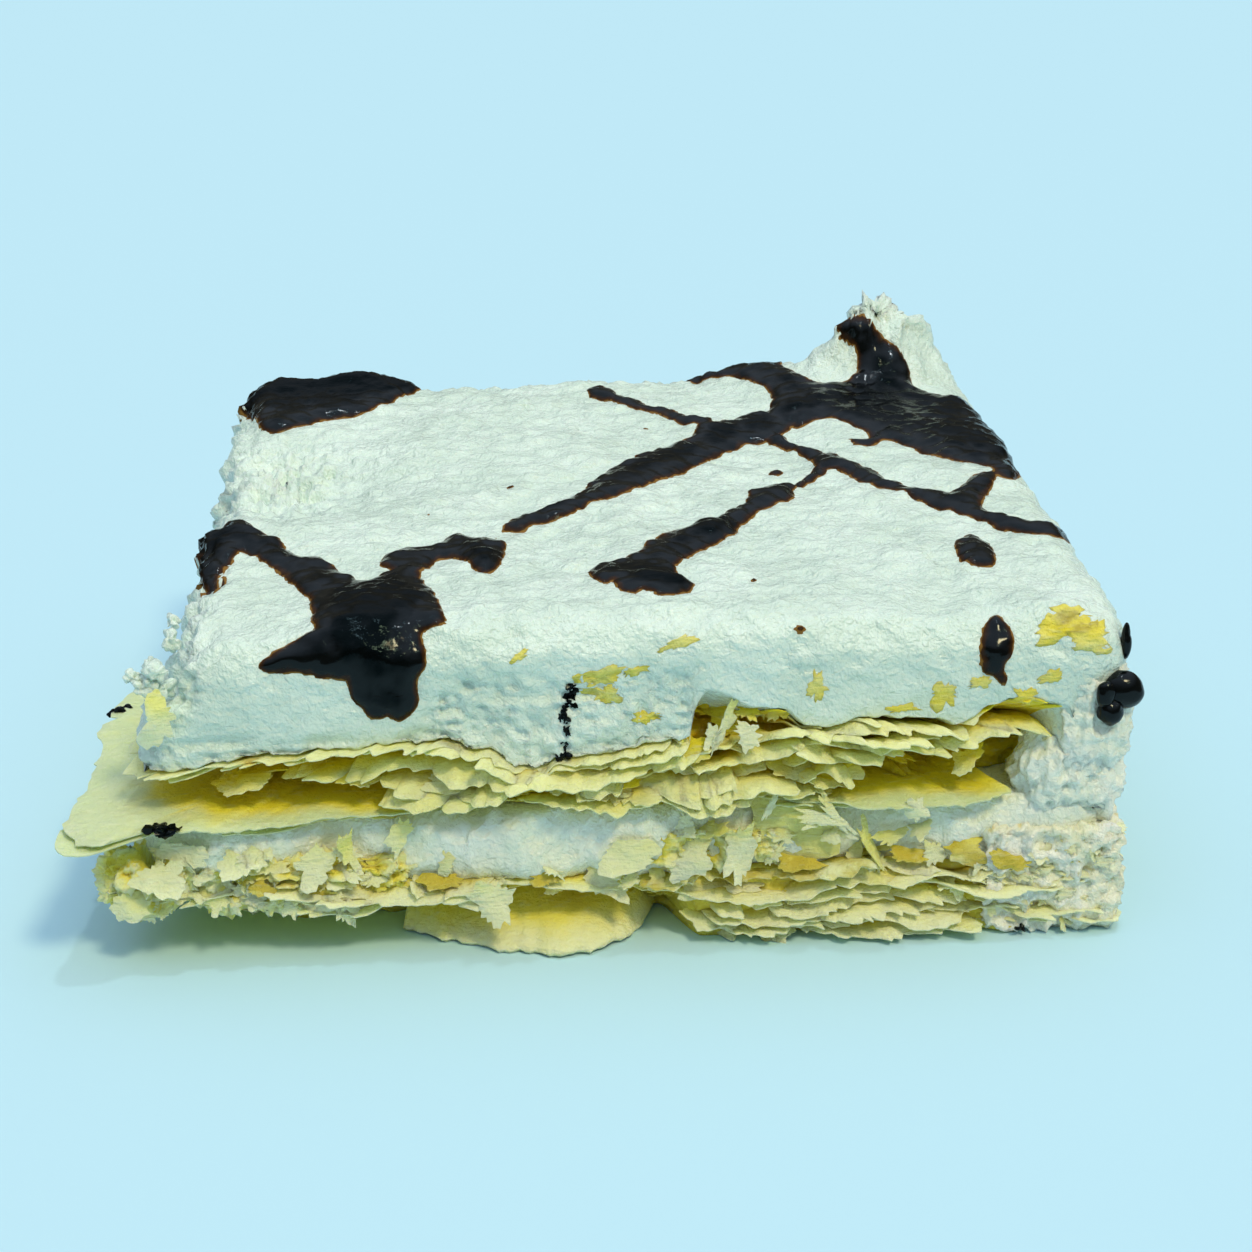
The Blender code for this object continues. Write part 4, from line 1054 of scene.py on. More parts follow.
wideSheet = {
    "paleColour": (0.64, 0.73, 0.42),
    # painted shade: the deeper yellow under the cream's overhang
    "paintedShadeColour": (0.97, 0.80, 0.05),
    "brownColour": (0.62, 0.36, 0.03),
    "brownShare": 0.4,
    "leaves": (
        dict(seed=111, sideHeight=16.6, thickness=0.4, wave=0.35, bitten=0, curl=0.3,
             leftEdge=((-46.5, 4.4), (-44, 7.4), (-42, 9.4), (-40, 10.7), (-38, 11.0), (-32, 9.6),
                       (-27, 9.0), (-18, 10.2), (-10, 8.0), (-3, 0.0)),
             frontHeights=((-60, 15.4), (-52, 15.6), (-36, 16.4), (-26, 16.4), (0, 16.2), (20, 16.2),
                           (52, 16.3)),
             reaches=((-52, 4.4), (-48, 2.6), (-44, 1.6), (-36, 0.4), (-26, -0.8), (-20, -2.6), (8, -2.6),
                      (18, 0.2), (24, 1.6), (34, 0.6), (39, -1.0), (43, -11.0), (52, -11.0))),
        dict(seed=112, sideHeight=15.8, thickness=0.36, wave=0.35, bitten=10, curl=0.4,
             leftEdge=((-46.5, 3.4), (-44, 7.5), (-43, 9.2), (-41.2, 11.4), (-38, 11.8), (-36, 9.5),
                       (-30, 8.0), (-15, 8.0), (-10, 6.0), (-4, 0.0)),
             frontHeights=((-60, 14.2), (-50, 14.7), (-36, 15.6), (0, 15.4), (20, 15.5), (52, 15.6)),
             reaches=((-52, 3.4), (-48, 1.2), (-44, 0.4), (-36, -1.2), (-20, -3.0), (8, -2.6), (16, -0.6),
                      (24, -0.2), (34, -0.6), (40, -3.0), (43, -11.0), (52, -11.0))),
    ),
}

lowerLeaves = {
    "paleColour": (0.94, 0.94, 0.53),
    # painted shade: the deeper yellow of the hollows
    "paintedShadeColour": (0.95, 0.80, 0.12),
    "brownColour": (0.56, 0.42, 0.05),
    "brownShare": 0.85,
    "leaves": (
        dict(seed=121, sideHeight=7.7, thickness=0.3, browning=0.72, bitten=40, droop=0.2,
             frontHeights=((-56, 9.4), (-40, 8.6), (-30, 8.2), (-15, 7.4), (0, 7.2), (12, 8.2), (30, 9.0),
                           (40, 8.4), (52, 8.0)),
             reaches=((-52, 0.0), (-30, 0.6), (-16, 1.2), (-10, 0.2), (10, 1.2), (30, 1.4), (36, 0.0),
                      (52, -1.0))),
        dict(seed=122, teeth=0.6, sideHeight=6.9, thickness=0.34, browning=0.4, bitten=22,
             frontHeights=((-56, 8.0), (-40, 7.6), (-30, 7.4), (-15, 6.8), (0, 6.4), (12, 7.2), (30, 8.2),
                           (52, 7.2)),
             reaches=((-52, 1.4), (-30, 1.4), (-16, 0.8), (0, 0.6), (10, 0.6), (30, 0.4), (36, 0.6),
                      (52, 0.4))),
        dict(seed=123, teeth=0.6, sideHeight=5.9, thickness=0.34, browning=0.15, bitten=22,
             frontHeights=((-56, 6.6), (-40, 6.8), (-30, 6.6), (-15, 6.2), (0, 5.6), (12, 6.2), (30, 7.0),
                           (52, 6.2)),
             reaches=((-52, 1.4), (-40, 0.8), (-30, 1.4), (-22, -2.0), (-6, -3.0), (2, -1.0), (6, 1.2),
                      (30, 1.0), (52, 0.6))),
        dict(seed=124, teeth=0.6, sideHeight=4.9, thickness=0.34, floor=0.0, gapPull=4.0,
             frontHeights=((-56, 5.8), (-40, 5.8), (-30, 5.6), (-15, 5.4), (0, 4.6), (12, 5.0), (30, 5.8),
                           (52, 5.2)),
             reaches=((-52, 0.6), (-46, 1.2), (-30, 0.4), (-24, -5.5), (-2, -6.0), (4, -2.0), (7, 0.6),
                      (30, 1.6), (52, 0.6))),
        dict(seed=125, sideHeight=3.9, thickness=0.34, floor=0.0, gapPull=8.0,
             frontHeights=((-56, 4.8), (-40, 4.8), (-30, 4.6), (-15, 4.6), (0, 3.6), (12, 3.8), (30, 4.6),
                           (52, 4.2)),
             reaches=((-52, -6.0), (-44, -5.0), (-36, -5.0), (-24, -8.0), (-1, -8.0), (4, -4.0), (6, 1.4),
                      (30, 0.6), (52, 0.8))),
        dict(seed=126, sideHeight=2.9, thickness=0.34, floor=0.0, gapPull=9.0,
             frontHeights=((-56, 2.4), (-44, 3.2), (-30, 3.8), (-15, 3.6), (0, 2.6), (12, 2.6), (30, 3.4),
                           (52, 3.2)),
             reaches=((-52, -9.0), (-24, -9.5), (-1, -9.0), (4, -6.0), (6, 0.6), (16, 1.4), (30, 1.2),
                      (52, 0.8))),
        dict(seed=127, sideHeight=1.9, thickness=0.34, floor=0.0, gapPull=9.0,
             frontHeights=((-56, 1.6), (-44, 2.4), (-30, 3.2), (-15, 3.0), (0, 1.8), (12, 1.5), (30, 2.2),
                           (52, 2.2)),
             reaches=((-52, -9.0), (-24, -9.5), (-1, -9.0), (5, -6.0), (7, 0.4), (16, 1.0), (30, 1.6),
                      (52, 0.8))),
        dict(seed=128, sideHeight=0.8, thickness=0.34, floor=0.0, curl=0.25, wave=0.3, gapPull=9.0,
             frontHeights=((-52, 0.6), (0, 0.8), (12, 0.6), (30, 1.0), (52, 1.2)),
             reaches=((-52, -9.0), (-26, -9.5), (-1, -9.0), (5, -6.5), (8, 0.0), (16, 1.2), (30, 0.8),
                      (52, 0.6))),
    ),
}


def addCore(shape, low, high, insetAt, seed, spread=False, levels=18):
    # The body behind the leaves, finely ridged where leaves lie on each other.
    turn = sideTurns()
    x, y = insetPoint(turn, 0.0)
    rings = []
    for z in np.linspace(low, high, levels):
        ridge = 1.3 * ripple(stack(x, y, z * 5), 7, seed) + 0.6 * ripple(stack(x, y, z * 3), 2.5, seed + 3)
        px, py = insetPoint(turn, insetAt(x, y, z) + ridge)
        if spread:
            px = px - leftSpread(px, py)
        rings.append(stack(px, py, z))
    points, faces = ringBody(rings)
    # Painted shade: the whole core takes the deeper yellow of the shaded hollows behind the leaves.
    shape.add(points, faces, depth=9.0, browning=0.1)


def makeUpperPastry(material, paleMaterial):
    def insetAt(x, y, z):
        front = frontShare(y)
        frontGap = ease((-x - 16) / 12) * front
        rightHole = ease((x - 22) / 6) * front
        arch = np.exp(-((x - 8.5) / 5.5) ** 2) * front
        return 3.0 + 7.0 * np.maximum.reduce([frontGap, rightHole, 0.6 * arch, leftGap(x, y)])

    shape = Shape()
    for leaf in upperLeaves["leaves"]:
        addLeaf(shape, clearsCorner=True, **leaf)
    piece = shape.make("upperLeaves", material, 50)
    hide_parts("upper_pastry")
    shape = Shape()
    for leaf in wideSheet["leaves"]:
        addLeaf(shape, clearsCorner=True, droop=0.25, unevenReach=0.25, teeth=0.4, **leaf)
    piece = shape.make("wideSheet", paleMaterial, 50)
    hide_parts("upper_pastry")
    shape = Shape()
    addCore(shape, slab["fillingTop"] + 0.2, slab["upperTop"] + 0.1, insetAt, 131)
    piece = shape.make("upperCore", material)
    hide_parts("upper_pastry")


def makeLowerPastry(material):
    def insetAt(x, y, z):
        middleGap = ease((5 - x) / 4) * ease((x + 30) / 5)
        raised = ease((-x - 20) / 6) * ease((5.2 - z) / 1.2)
        left = ease((-x - 44) / 4) * ease((-4 - y) / 16) * ease((5.2 - z) / 1.2)
        return 1.8 + 8.0 * np.maximum(frontShare(y) * np.maximum(middleGap, raised), left)

    shape = Shape()
    for leaf in lowerLeaves["leaves"]:
        addLeaf(shape, spread=True, **{"droop": 0.5, "unevenReach": 0.6, **leaf})
    piece = shape.make("lowerLeaves", material, 50)
    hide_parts("lower_pastry")
    shape = Shape()
    addCore(shape, 0.0, slab["lowerTop"], insetAt, 141, spread=True, levels=22)
    piece = shape.make("lowerCore", material)
    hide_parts("lower_pastry")


filling = {
    "tint": (0.91, 0.97, 0.86),
    "shade": (0.85, 0.91, 0.77),
    "bulge": ((-58, -1.0), (-50, 0.4), (-42, -0.8), (-34, 0.0), (-24, -0.2), (-14, -0.9), (-2, -0.8),
              (8, 0.2), (16, 0.8), (24, 0.9), (30, 0.0), (38, -0.4), (52, -0.4)),
}


def makeFilling(material):
    turn = sideTurns()
    x, y = insetPoint(turn, 0.0)
    front = frontShare(y)
    low, high = slab["lowerTop"] - 0.6, slab["fillingTop"] + 0.3
    rings = []
    for share in np.linspace(0, 1, 15):
        inset = 0.9 + 1.8 * abs(2 * share - 1) ** 3 + readAlong(filling["bulge"], x) * front
        z = low + (high - low) * share
        px, py = insetPoint(turn, inset + 0.8 * ripple(stack(x, y, z), 8, 61))
        rings.append(stack(px - leftSpread(px, py), py, z))
    points, faces = ringBody(rings)
    normals = skinNormals(points, faces)
    relief = 0.5 * lumps(points, 3.4, 63, 3) + 0.2 * lumps(points, 1.2, 66) - 0.35
    shape = Shape()
    shape.add(points + normals * relief[:, None], faces)
    piece = shape.make("fillingCream", material)
    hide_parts("cream_filling")


def boxLump(middle, halves, power, levels, count, relief):
    # Points and faces of an upright body with rounded corners and an uneven skin.
    angle = 2 * math.pi * np.arange(count) / count
    across, ahead = np.cos(angle), np.sin(angle)
    squared = (np.abs(across) ** power + np.abs(ahead) ** power) ** (1 / power)
    rings = []
    for share in np.linspace(-1, 1, levels):
        narrow = (1 - (0.985 * abs(share)) ** power) ** (1 / power)
        rings.append(stack(middle[0] + halves[0] * narrow * across / squared,
                           middle[1] + halves[1] * narrow * ahead / squared,
                           middle[2] + halves[2] * share))
    points, faces = ringBody(rings)
    normals = skinNormals(points, faces)
    return points + normals * relief(points)[:, None], faces


# Broken, mashed places: middle, half sizes, squareness, relief in mm
crumble = {
    "levels": 36,
    "pointsRound": 180,
    "smear": ((44.8, -42.2, 17.6), (6.4, 4.3, 6.9), 2.8, 0.9),
    "smearTop": ((46.7, -42.5, 24.6), (4.5, 4.2, 6.6), 3.6, 0.7),
    "cornerMash": ((43.2, -40.2, 6.3), (8.2, 7.1, 6.8), 8.0, 1.1),
    "leftMash": ((-38.0, -43.4, 8.4), (13.0, 4.2, 3.8), 3.0, 1.9),
    "farLeftMash": ((-54.0, -43.0, 8.6), (6.0, 4.6, 3.8), 3.0, 1.7),
    "middleMash": ((5.0, -43.6, 10.8), (9.0, 3.1, 3.3), 3.0, 1.6),
    "tint": (0.93, 0.95, 0.86),
    "shade": (0.90, 0.89, 0.64),
}


def crumbleBody(shape, middle, halves, power, depth, seed):
    def relief(points):
        turned = points @ turnMatrix
        return depth * (lumps(turned, 2.8, seed, 3) + 0.45 * lumps(turned, 0.9, seed + 4, 2) - 0.8)

    points, faces = boxLump(middle, halves, power, crumble["levels"], crumble["pointsRound"], relief)
    # Painted shade: deeper yellow in the low places of the relief.
    recessShade = np.clip(1.4 - 2.2 * (relief(points) / depth + 0.35), 0, 4)
    points[:, 2] = np.maximum(points[:, 2], 0.05)
    shape.add(points, faces, depth=recessShade, browning=0.12)


def makeCrumble(creamMaterial, pastryMaterial):
    shape = Shape()
    crumbleBody(shape, *crumble["smear"], 71)
    crumbleBody(shape, *crumble["smearTop"], 73)
    piece = shape.make("cornerSmear", creamMaterial)
    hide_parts("cream_topping")
    mashed = whippedCream("mashedPastry", crumble["tint"], crumble["shade"], 0.75)
    for number, name in enumerate(("cornerMash", "leftMash", "farLeftMash", "middleMash")):
        shape = Shape()
        crumbleBody(shape, *crumble[name], 75 + 9 * number)
        piece = shape.make(name, pastryMaterial if number else mashed)
        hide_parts("lower_pastry")


# Loose flakes in mm: ranges of x, z, inset, width, length and droop in degrees, and how many
looseFlakes = {
    "thickness": 0.2,
    "placedThickness": 0.24,
    "lowest": 0.12,
    "torn": 0.42,
    "paleColour": (0.93, 0.95, 0.54),
    # painted shade: the deeper yellow of flakes set further in
    "paintedShadeColour": (0.90, 0.85, 0.26),
    "brownColour": (0.62, 0.36, 0.03),
    "brownShare": 0.5,
    "upper": (
        ((-48, 4), (17.2, 20.6), (0.4, 2.4), (3, 8), (2.0, 4.0), (10, 50), 5),
        ((14, 36), (18.0, 25.0), (0.4, 2.6), (3, 9), (2.0, 4.2), (0, 50), 9),
        ((3, 15), (17.0, 22.6), (0.4, 2.2), (3, 7), (2.0, 4.0), (0, 55), 5),
        ((4.5, 13), (23.5, 27.0), (1.5, 5.0), (2, 5), (2.0, 4.0), (0, 70), 7),
    ),
    "filling": (
        ((0, 32), (8.6, 14.4), (-0.2, 1.4), (1.2, 4), (1.2, 3.2), (20, 90), 14),
        ((-58, -30), (6.0, 13.0), (-0.8, 0.6), (1.2, 5), (1.2, 3.4), (10, 95), 34),
        ((-36, 0), (8.0, 9.6), (0.0, 1.4), (1.2, 4), (1.2, 2.6), (10, 65), 8),
    ),
    "lower": (
        ((-58, -30), (5.2, 8.5), (-0.8, 1.4), (1.5, 5), (1.4, 3.2), (10, 80), 16),
        ((-28, 3), (6.2, 8.0), (0.0, 2.0), (2, 6), (1.6, 3.4), (10, 65), 9),
        ((4, 36), (1.0, 8.6), (0.2, 1.8), (2, 7), (1.6, 3.6), (5, 50), 12),
        ((34, 50), (1.0, 12.0), (-0.9, 0.4), (0.8, 2.6), (0.8, 1.8), (10, 100), 40),
    ),
    # Flakes with a set place: x, z, inset, width, length, droop, swing, roll in degrees, depth of colour;
    # the depth of colour is painted shade, the deeper yellow of hollows, and the sliver at x 22.8 stands
    # for a shadowed gap
    "placed": (
        (14.8, 14.0, 1.2, 9.0, 9.0, 78, 0, 0, 6.5), (19.2, 14.6, -0.3, 1.3, 6.6, 88, 40, 20, 0.2),
        (17.0, 14.7, -0.5, 1.2, 4.8, 88, 75, 20, 0.0), (8.6, 11.6, -0.6, 3.6, 6.6, 84, 0, 10, 0.4),
        (-2.7, 10.6, -0.6, 7.0, 3.4, 62, 0, 0, 0.4), (3.6, 10.4, -0.4, 4.8, 3.6, 66, 10, -10, 0.8),
        (22.8, 11.0, 0.3, 1.6, 6.4, 92, 28, 60, 5.0), (12.0, 16.2, -0.2, 1.0, 3.4, 88, -20, 10, 0.4),
        (-17.4, 6.4, -1.2, 4.2, 5.6, 80, 8, 0, 0.6), (-27.5, 13.6, 0.3, 2.4, 5.0, 86, -25, 0, 2.0),
        (-51.6, 28.8, -1.6, 4.2, 5.0, 84, 0, 15, 1.6), (27.6, 15.9, -1.2, 1.8, 3.0, 82, 10, 0, 0.2),
        (7.0, 25.6, 0.4, 1.6, 5.4, 84, -25, 20, 1.0), (9.4, 24.6, -0.2, 2.6, 3.0, 70, 20, 0, 0.4),
        (5.6, 24.2, 0.0, 2.0, 2.6, 76, -10, 0, 0.4), (-22.6, 10.2, 0.3, 2.0, 3.4, 86, 15, 0, 1.6),
        (-36.5, 11.0, -0.6, 4.0, 4.6, 70, 12, 8, 0.6), (-44.0, 11.6, -0.8, 4.4, 3.4, 48, -8, -10, 0.8),
        (-52.5, 10.4, -1.8, 4.4, 3.8, 50, 8, 6, 0.6), (-55.6, 7.6, -1.6, 4.4, 2.8, 60, 0, 0, 1.6),
        (-33.0, 12.4, -0.2, 1.8, 4.6, 86, 10, 30, 3.0),
    ),
    # Browned flakes: the same numbers, without the last
    "browned": (
        (33.0, 10.2, 0.2, 5.2, 2.6, 50, 0, 0), (38.2, 9.0, -0.7, 4.6, 2.0, 66, -25, 0),
        (27.0, 9.6, 0.2, 5.0, 2.0, 40, 0, 0), (-23.0, 8.6, 0.2, 4.2, 2.2, 45, 0, 0),
        (-12.0, 8.2, 0.2, 3.6, 2.0, 45, 0, 0), (3.0, 8.6, -0.2, 4.4, 2.2, 55, 0, 0),
        (15.5, 9.2, 0.2, 5.0, 2.0, 40, 0, 0), (-36.0, 7.8, -0.6, 4.0, 1.8, 60, 0, 0),
        (-42.5, 8.8, -0.8, 3.6, 1.6, 60, 0, 0),
    ),
    # turn range, z range, and the rest as above
    "sides": (
        ((1.0, 2.0), (1.0, 23.5), (0.0, 2.5), (5, 13), (2.4, 5.0), (-10, 35), 16),
        ((2.0, 3.0), (1.0, 23.5), (0.0, 2.5), (5, 13), (2.4, 5.0), (-10, 35), 12),
        ((3.0, 4.0), (1.0, 22.0), (0.0, 2.5), (5, 13), (2.4, 5.0), (-10, 35), 16),
    ),
}


flakeRings, flakeSpokes, flakeSquareness = 5, 36, 3.5


def flakeDisc(rings, spokes):
    # A disc's points as ring share and angle, with its closed top, rim and underside.
    share = np.concatenate([[0.0], np.repeat(np.arange(1, rings + 1) / rings, spokes)])
    angle = np.concatenate([[0.0], np.tile(2 * math.pi * np.arange(spokes) / spokes, rings)])
    size = len(share)
    top, rim = [], []
    start = 1 + (rings - 1) * spokes
    for k in range(spokes):
        after = (k + 1) % spokes
        top.append([0, 1 + k, 1 + after])
        for ring in range(rings - 1):
            near, far = 1 + ring * spokes, 1 + (ring + 1) * spokes
            top.append([near + k, far + k, far + after, near + after])
        rim.append([start + k, start + k + size, start + after + size, start + after])
    low = [[i + size for i in face[::-1]] for face in top]
    return share, angle, top + low + rim


discShare, discAngle, discFaces = flakeDisc(flakeRings, flakeSpokes)


def flakeOutline(chance, width, length, torn):
    # The disc's points in mm, pulled to an angular shape with fine teeth round it.
    spokes = np.arange(flakeSpokes) / flakeSpokes
    knots = np.interp(spokes * 20, np.arange(21), chance.uniform(-1, 1, 21))
    knots += 0.7 * chance.uniform(-1, 1, flakeSpokes)
    corners = chance.integers(5, 8)
    values = chance.uniform(-1, 0.5, corners)
    coarse = np.interp(spokes * corners, np.arange(corners + 1), np.append(values, values[0]))
    fine = 0.65 * min(1.0, 3.5 / width)
    edge = np.concatenate([[1.0], np.tile(1 + torn * (coarse + fine * knots), flakeRings)])
    broad = 1 + 0.15 * np.sin(2 * (discAngle - chance.uniform(0, 6)))
    broad = broad + 0.1 * np.sin(3 * (discAngle - chance.uniform(0, 6)))
    radius = discShare * broad * (1 + (edge - 1) * discShare**2)
    across, ahead = np.cos(discAngle), np.sin(discAngle)
    power = flakeSquareness
    radius = radius / (np.abs(across) ** power + np.abs(ahead) ** power) ** (1 / power)
    return radius * across * width / 2, radius * ahead * length / 2


def addFlake(shape, chance, place, along, outward, width, length, thickness, curl=0.12, inset=0.0,
             browning=0.0, roll=0.0):
    # Adds a thin torn flake; it spreads sideways along one axis and sticks out along another.
    u, v = flakeOutline(chance, width, length, looseFlakes["torn"])
    up = np.cross(along, outward)
    cos, sin = math.cos(roll), math.sin(roll)
    along, up = along * cos + up * sin, up * cos - along * sin
    bend = chance.uniform(-curl, curl, 3)
    lift = bend[0] * u**2 / width + bend[1] * 1.6 * v**2 / length + bend[2] * u * v / width
    flat = stack(u, v, 0 * u)
    lift = lift + 0.09 * min(width, 5) * ripple(flat + chance.uniform(0, 90, 3), 0.4 * width + 1, 7, 2)
    middle = np.asarray(place) + u[:, None] * along + v[:, None] * outward + lift[:, None] * up
    half = thickness / 2 * (1 - 0.55 * discShare**3)
    points = np.concatenate([middle + half[:, None] * up, middle - half[:, None] * up])
    # Painted shade: deeper yellow the further in a flake is set and towards its root.
    depth = np.clip(inset - np.tile(v, 2) * 0.8 - 0.5, 0, 12) * 0.9
    shape.add(points, discFaces, depth=depth, browning=browning)


def edgePoint(turn, inset):
    x, y = insetPoint(np.array([turn]), inset)
    return np.array([x[0], y[0]])


def scatterFlakes(shape, group, seed, browning=0.0, byTurn=False):
    # Adds flakes at random places, by x along the front or by turn along the other sides.
    chance = np.random.default_rng(seed)
    for acrossRange, zRange, insets, widths, lengths, droops, count in group:
        for _ in range(count):
            across, z, inset = (chance.uniform(*span) for span in (acrossRange, zRange, insets))
            width = widths[0] + (widths[1] - widths[0]) * chance.uniform() ** 1.6
            length = min(chance.uniform(*lengths), width * 1.2)
            turn = across if byTurn else np.clip((across / halfWidth + 1) / 2, 0.004, 0.996)
            edge = edgePoint(turn, inset)
            tangent = np.array([*(edgePoint(turn + 0.002, inset) - edge), 0.0])
            tangent /= np.linalg.norm(tangent)
            outward = np.array([tangent[1], -tangent[0], 0.0])
            pastSide = not byTurn and abs(across) > halfWidth
            if pastSide:
                edge[0] = edge[0] * abs(across) / halfWidth
            elif not byTurn:
                edge[0] = across * (1 - inset / halfDepth)
            if z < 15 and not pastSide:
                edge[0] -= leftSpread(edge[0], edge[1])
            droop = math.radians(chance.uniform(*droops))
            swing = math.radians(chance.uniform(-35, 35))
            cos, sin = math.cos(swing), math.sin(swing)
            outward, tangent = outward * cos + tangent * sin, tangent * cos - outward * sin
            pointing = outward * math.cos(droop) - np.array([0, 0, math.sin(droop)])
            reach = abs(pointing[2]) * length / 2 + 0.05 * width
            place = np.array([edge[0], edge[1], max(z, looseFlakes["lowest"] + reach)])
            addFlake(shape, chance, place, tangent, pointing, width, length, looseFlakes["thickness"],
                     inset=inset + chance.uniform(0, 3) * (chance.uniform() < 0.3),
                     browning=browning * (chance.uniform() < 0.4),
                     roll=math.radians(chance.uniform(-25, 25)))


def placeFlakes(shape, seed, spots, browning=0.0):
    # Adds flakes that stand at set places before the front.
    chance = np.random.default_rng(seed)
    for x, z, inset, width, length, droop, swing, roll, *rest in spots:
        # Painted shade: the depth of colour gives the deeper yellow of the hollows.
        depth = rest[0] if rest else 3.0
        droop, swing = math.radians(droop), math.radians(swing)
        along = np.array([math.cos(swing), 0.0, math.sin(swing)])
        down = math.sin(droop)
        pointing = np.array([math.sin(swing) * down, -math.cos(droop), -down * math.cos(swing)])
        pointing /= np.linalg.norm(pointing)
        along -= pointing * (along @ pointing)
        along /= np.linalg.norm(along)
        place = (x, -halfDepth + inset, max(z, 0.4 + length / 2 * down))
        addFlake(shape, chance, place, along, pointing, width, length, looseFlakes["placedThickness"],
                 curl=0.3, inset=depth, roll=math.radians(roll), browning=browning)


def makeLooseFlakes(paleMaterial, brownedMaterial, lightMaterial):
    for name, group, seed, material, node, slot in (
        ("upperFlakes", "upper", 201, paleMaterial, "upper_pastry", "pastry"),
        ("fillingFlakes", "filling", 202, lightMaterial, "upper_pastry", "pastry"),
        ("lowerFlakes", "lower", 203, brownedMaterial, "lower_pastry", "browned_pastry"),
    ):
        shape = Shape()
        scatterFlakes(shape, looseFlakes[group], seed, browning=0.5 if group != "upper" else 0.2)
        if group == "filling":
            placeFlakes(shape, 206, looseFlakes["placed"])
        if group == "lower":
            placeFlakes(shape, 208, looseFlakes["browned"], 1.1)
        piece = shape.make(name, material, 40)
        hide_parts(node)
    shape = Shape()
    scatterFlakes(shape, looseFlakes["sides"], 204, byTurn=True)
    piece = shape.make("sideFlakes", paleMaterial, 40)
    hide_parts("upper_pastry")


groundFlake = {
    "outline": (        # x, y of its outer edge, from left to right
        (-27.5, -41.5), (-24.7, -43.3), (-20, -46.0), (-15, -47.9), (-10.5, -48.6), (-6.4, -47.8),
        (-3.5, -45.8), (-1.7, -43.1), (0.6, -36.1),
    ),
    "middle": -12.5,
    "halfWidth": 13.0,
    "rootY": -33.0,
    "rootHeight": 6.6,
    "thickness": 0.5,
    "cells": (70, 26),
}


def makeGroundFlake(material):
    # The leaf that has bent down to the ground at the front, hollow towards the viewer.
    outline = np.array(groundFlake["outline"], float)
    across, back = groundFlake["cells"]
    shares, knots = np.linspace(0, 1, across), np.linspace(0, 1, len(outline))
    along, edgeY = np.interp(shares, knots, outline[:, 0]), np.interp(shares, knots, outline[:, 1])
    edgeY += 0.8 * ripple(stack(along, 0, 0), 1.6, 83, 3)
    middle = groundFlake["middle"]
    rows = []
    for share in np.linspace(0, 1, back):
        y = edgeY + (groundFlake["rootY"] - edgeY) * share
        x = along + (middle - along) * 0.12 * share
        arch = ((x - middle) / groundFlake["halfWidth"]) ** 2
        z = 0.4 + groundFlake["rootHeight"] * share**0.85 * (1 - 0.25 * arch)
        z = z + 0.9 * arch * share + 0.22 * ripple(stack(x, y, 0), 4, 85)
        rows.append(stack(x, y, np.maximum(z, 0.35)))
    grid = np.array(rows)
    count, columns, _ = grid.shape
    skin = grid.reshape(-1, 3)
    faces = gridFaces(count, columns)
    normals = skinNormals(skin, faces)
    half = groundFlake["thickness"] / 2
    top, low = skin + normals * half, skin - normals * half
    low[:, 2] = np.maximum(low[:, 2], 0.02)
    size = len(skin)
    number = np.arange(size).reshape(count, columns)
    border = np.concatenate([number[0, :-1], number[:-1, -1], number[-1, :0:-1], number[:0:-1, 0]])
    after = np.roll(border, -1)
    faces = faces + gridFaces(count, columns, flip=True, start=size)
    faces += np.stack([after, border, border + size, after + size], axis=-1).tolist()
    # Painted shade: the colour deepens from the pale rim to the root, inside the flake's hollow.
    depth = np.tile(np.repeat(np.linspace(0.1, 7.5, count), columns), 2)
    shape = Shape()
    shape.add(np.concatenate([top, low]), faces, depth=depth, browning=0.0)
    piece = shape.make("groundFlake", material)
    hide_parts("lower_pastry")


# Flakes lying on the cream: x, run over the topping laid flat, width, length, turn in degrees
stuckFlakes = {
    "rise": 0.12,
    "sink": 0.3,
    "torn": 0.5,
    "spots": (
        (42.2, -45.6, 5.6, 3.6, 4), (45.6, -47.0, 4.4, 3.0, -12), (43.6, -44.4, 3.6, 2.2, 25),
        (16.6, -51.9, 2.0, 3.6, -15), (30.2, -52.2, 3.4, 2.6, 8), (33.8, -51.0, 2.8, 1.7, 15),
        (41.4, -50.9, 2.8, 1.4, 12), (38.6, -52.8, 2.6, 2.2, 0), (-6.2, -50.7, 5.2, 2.2, 12),
        (-5.6, -52.8, 3.8, 2.0, 4), (-2.6, -50.0, 2.2, 1.2, 25), (-1.0, -55.4, 2.6, 1.6, 10),
        (2.0, -46.9, 4.4, 1.2, 22), (-14.5, -47.8, 2.0, 0.9, 20), (25.4, -54.4, 3.0, 1.2, 5),
    ),
}


def makeStuckFlakes(material):
    chance = np.random.default_rng(205)
    shape = Shape()
    for x, run, width, length, turned in stuckFlakes["spots"]:
        u, v = flakeOutline(chance, width, length, stuckFlakes["torn"])
        cos, sin = math.cos(math.radians(turned)), math.sin(math.radians(turned))
        across, along = x + u * cos - v * sin, run + u * sin + v * cos
        base = draped(across, along)
        up = np.cross(draped(across + 0.3, along) - base, draped(across, along + 0.3) - base)
        up /= np.linalg.norm(up, axis=1, keepdims=True)
        skin = base + up * creamRelief(base)[:, None]
        skin[:, 0] -= leftFlare(skin)
        rise = stuckFlakes["rise"] * (1.2 - discShare**2)
        points = np.concatenate([skin + up * rise[:, None], skin - up * stuckFlakes["sink"]])
        shape.add(points, discFaces, depth=1.8, browning=0.05)
    piece = shape.make("stuckFlakes", material)
    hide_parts("cream_topping")


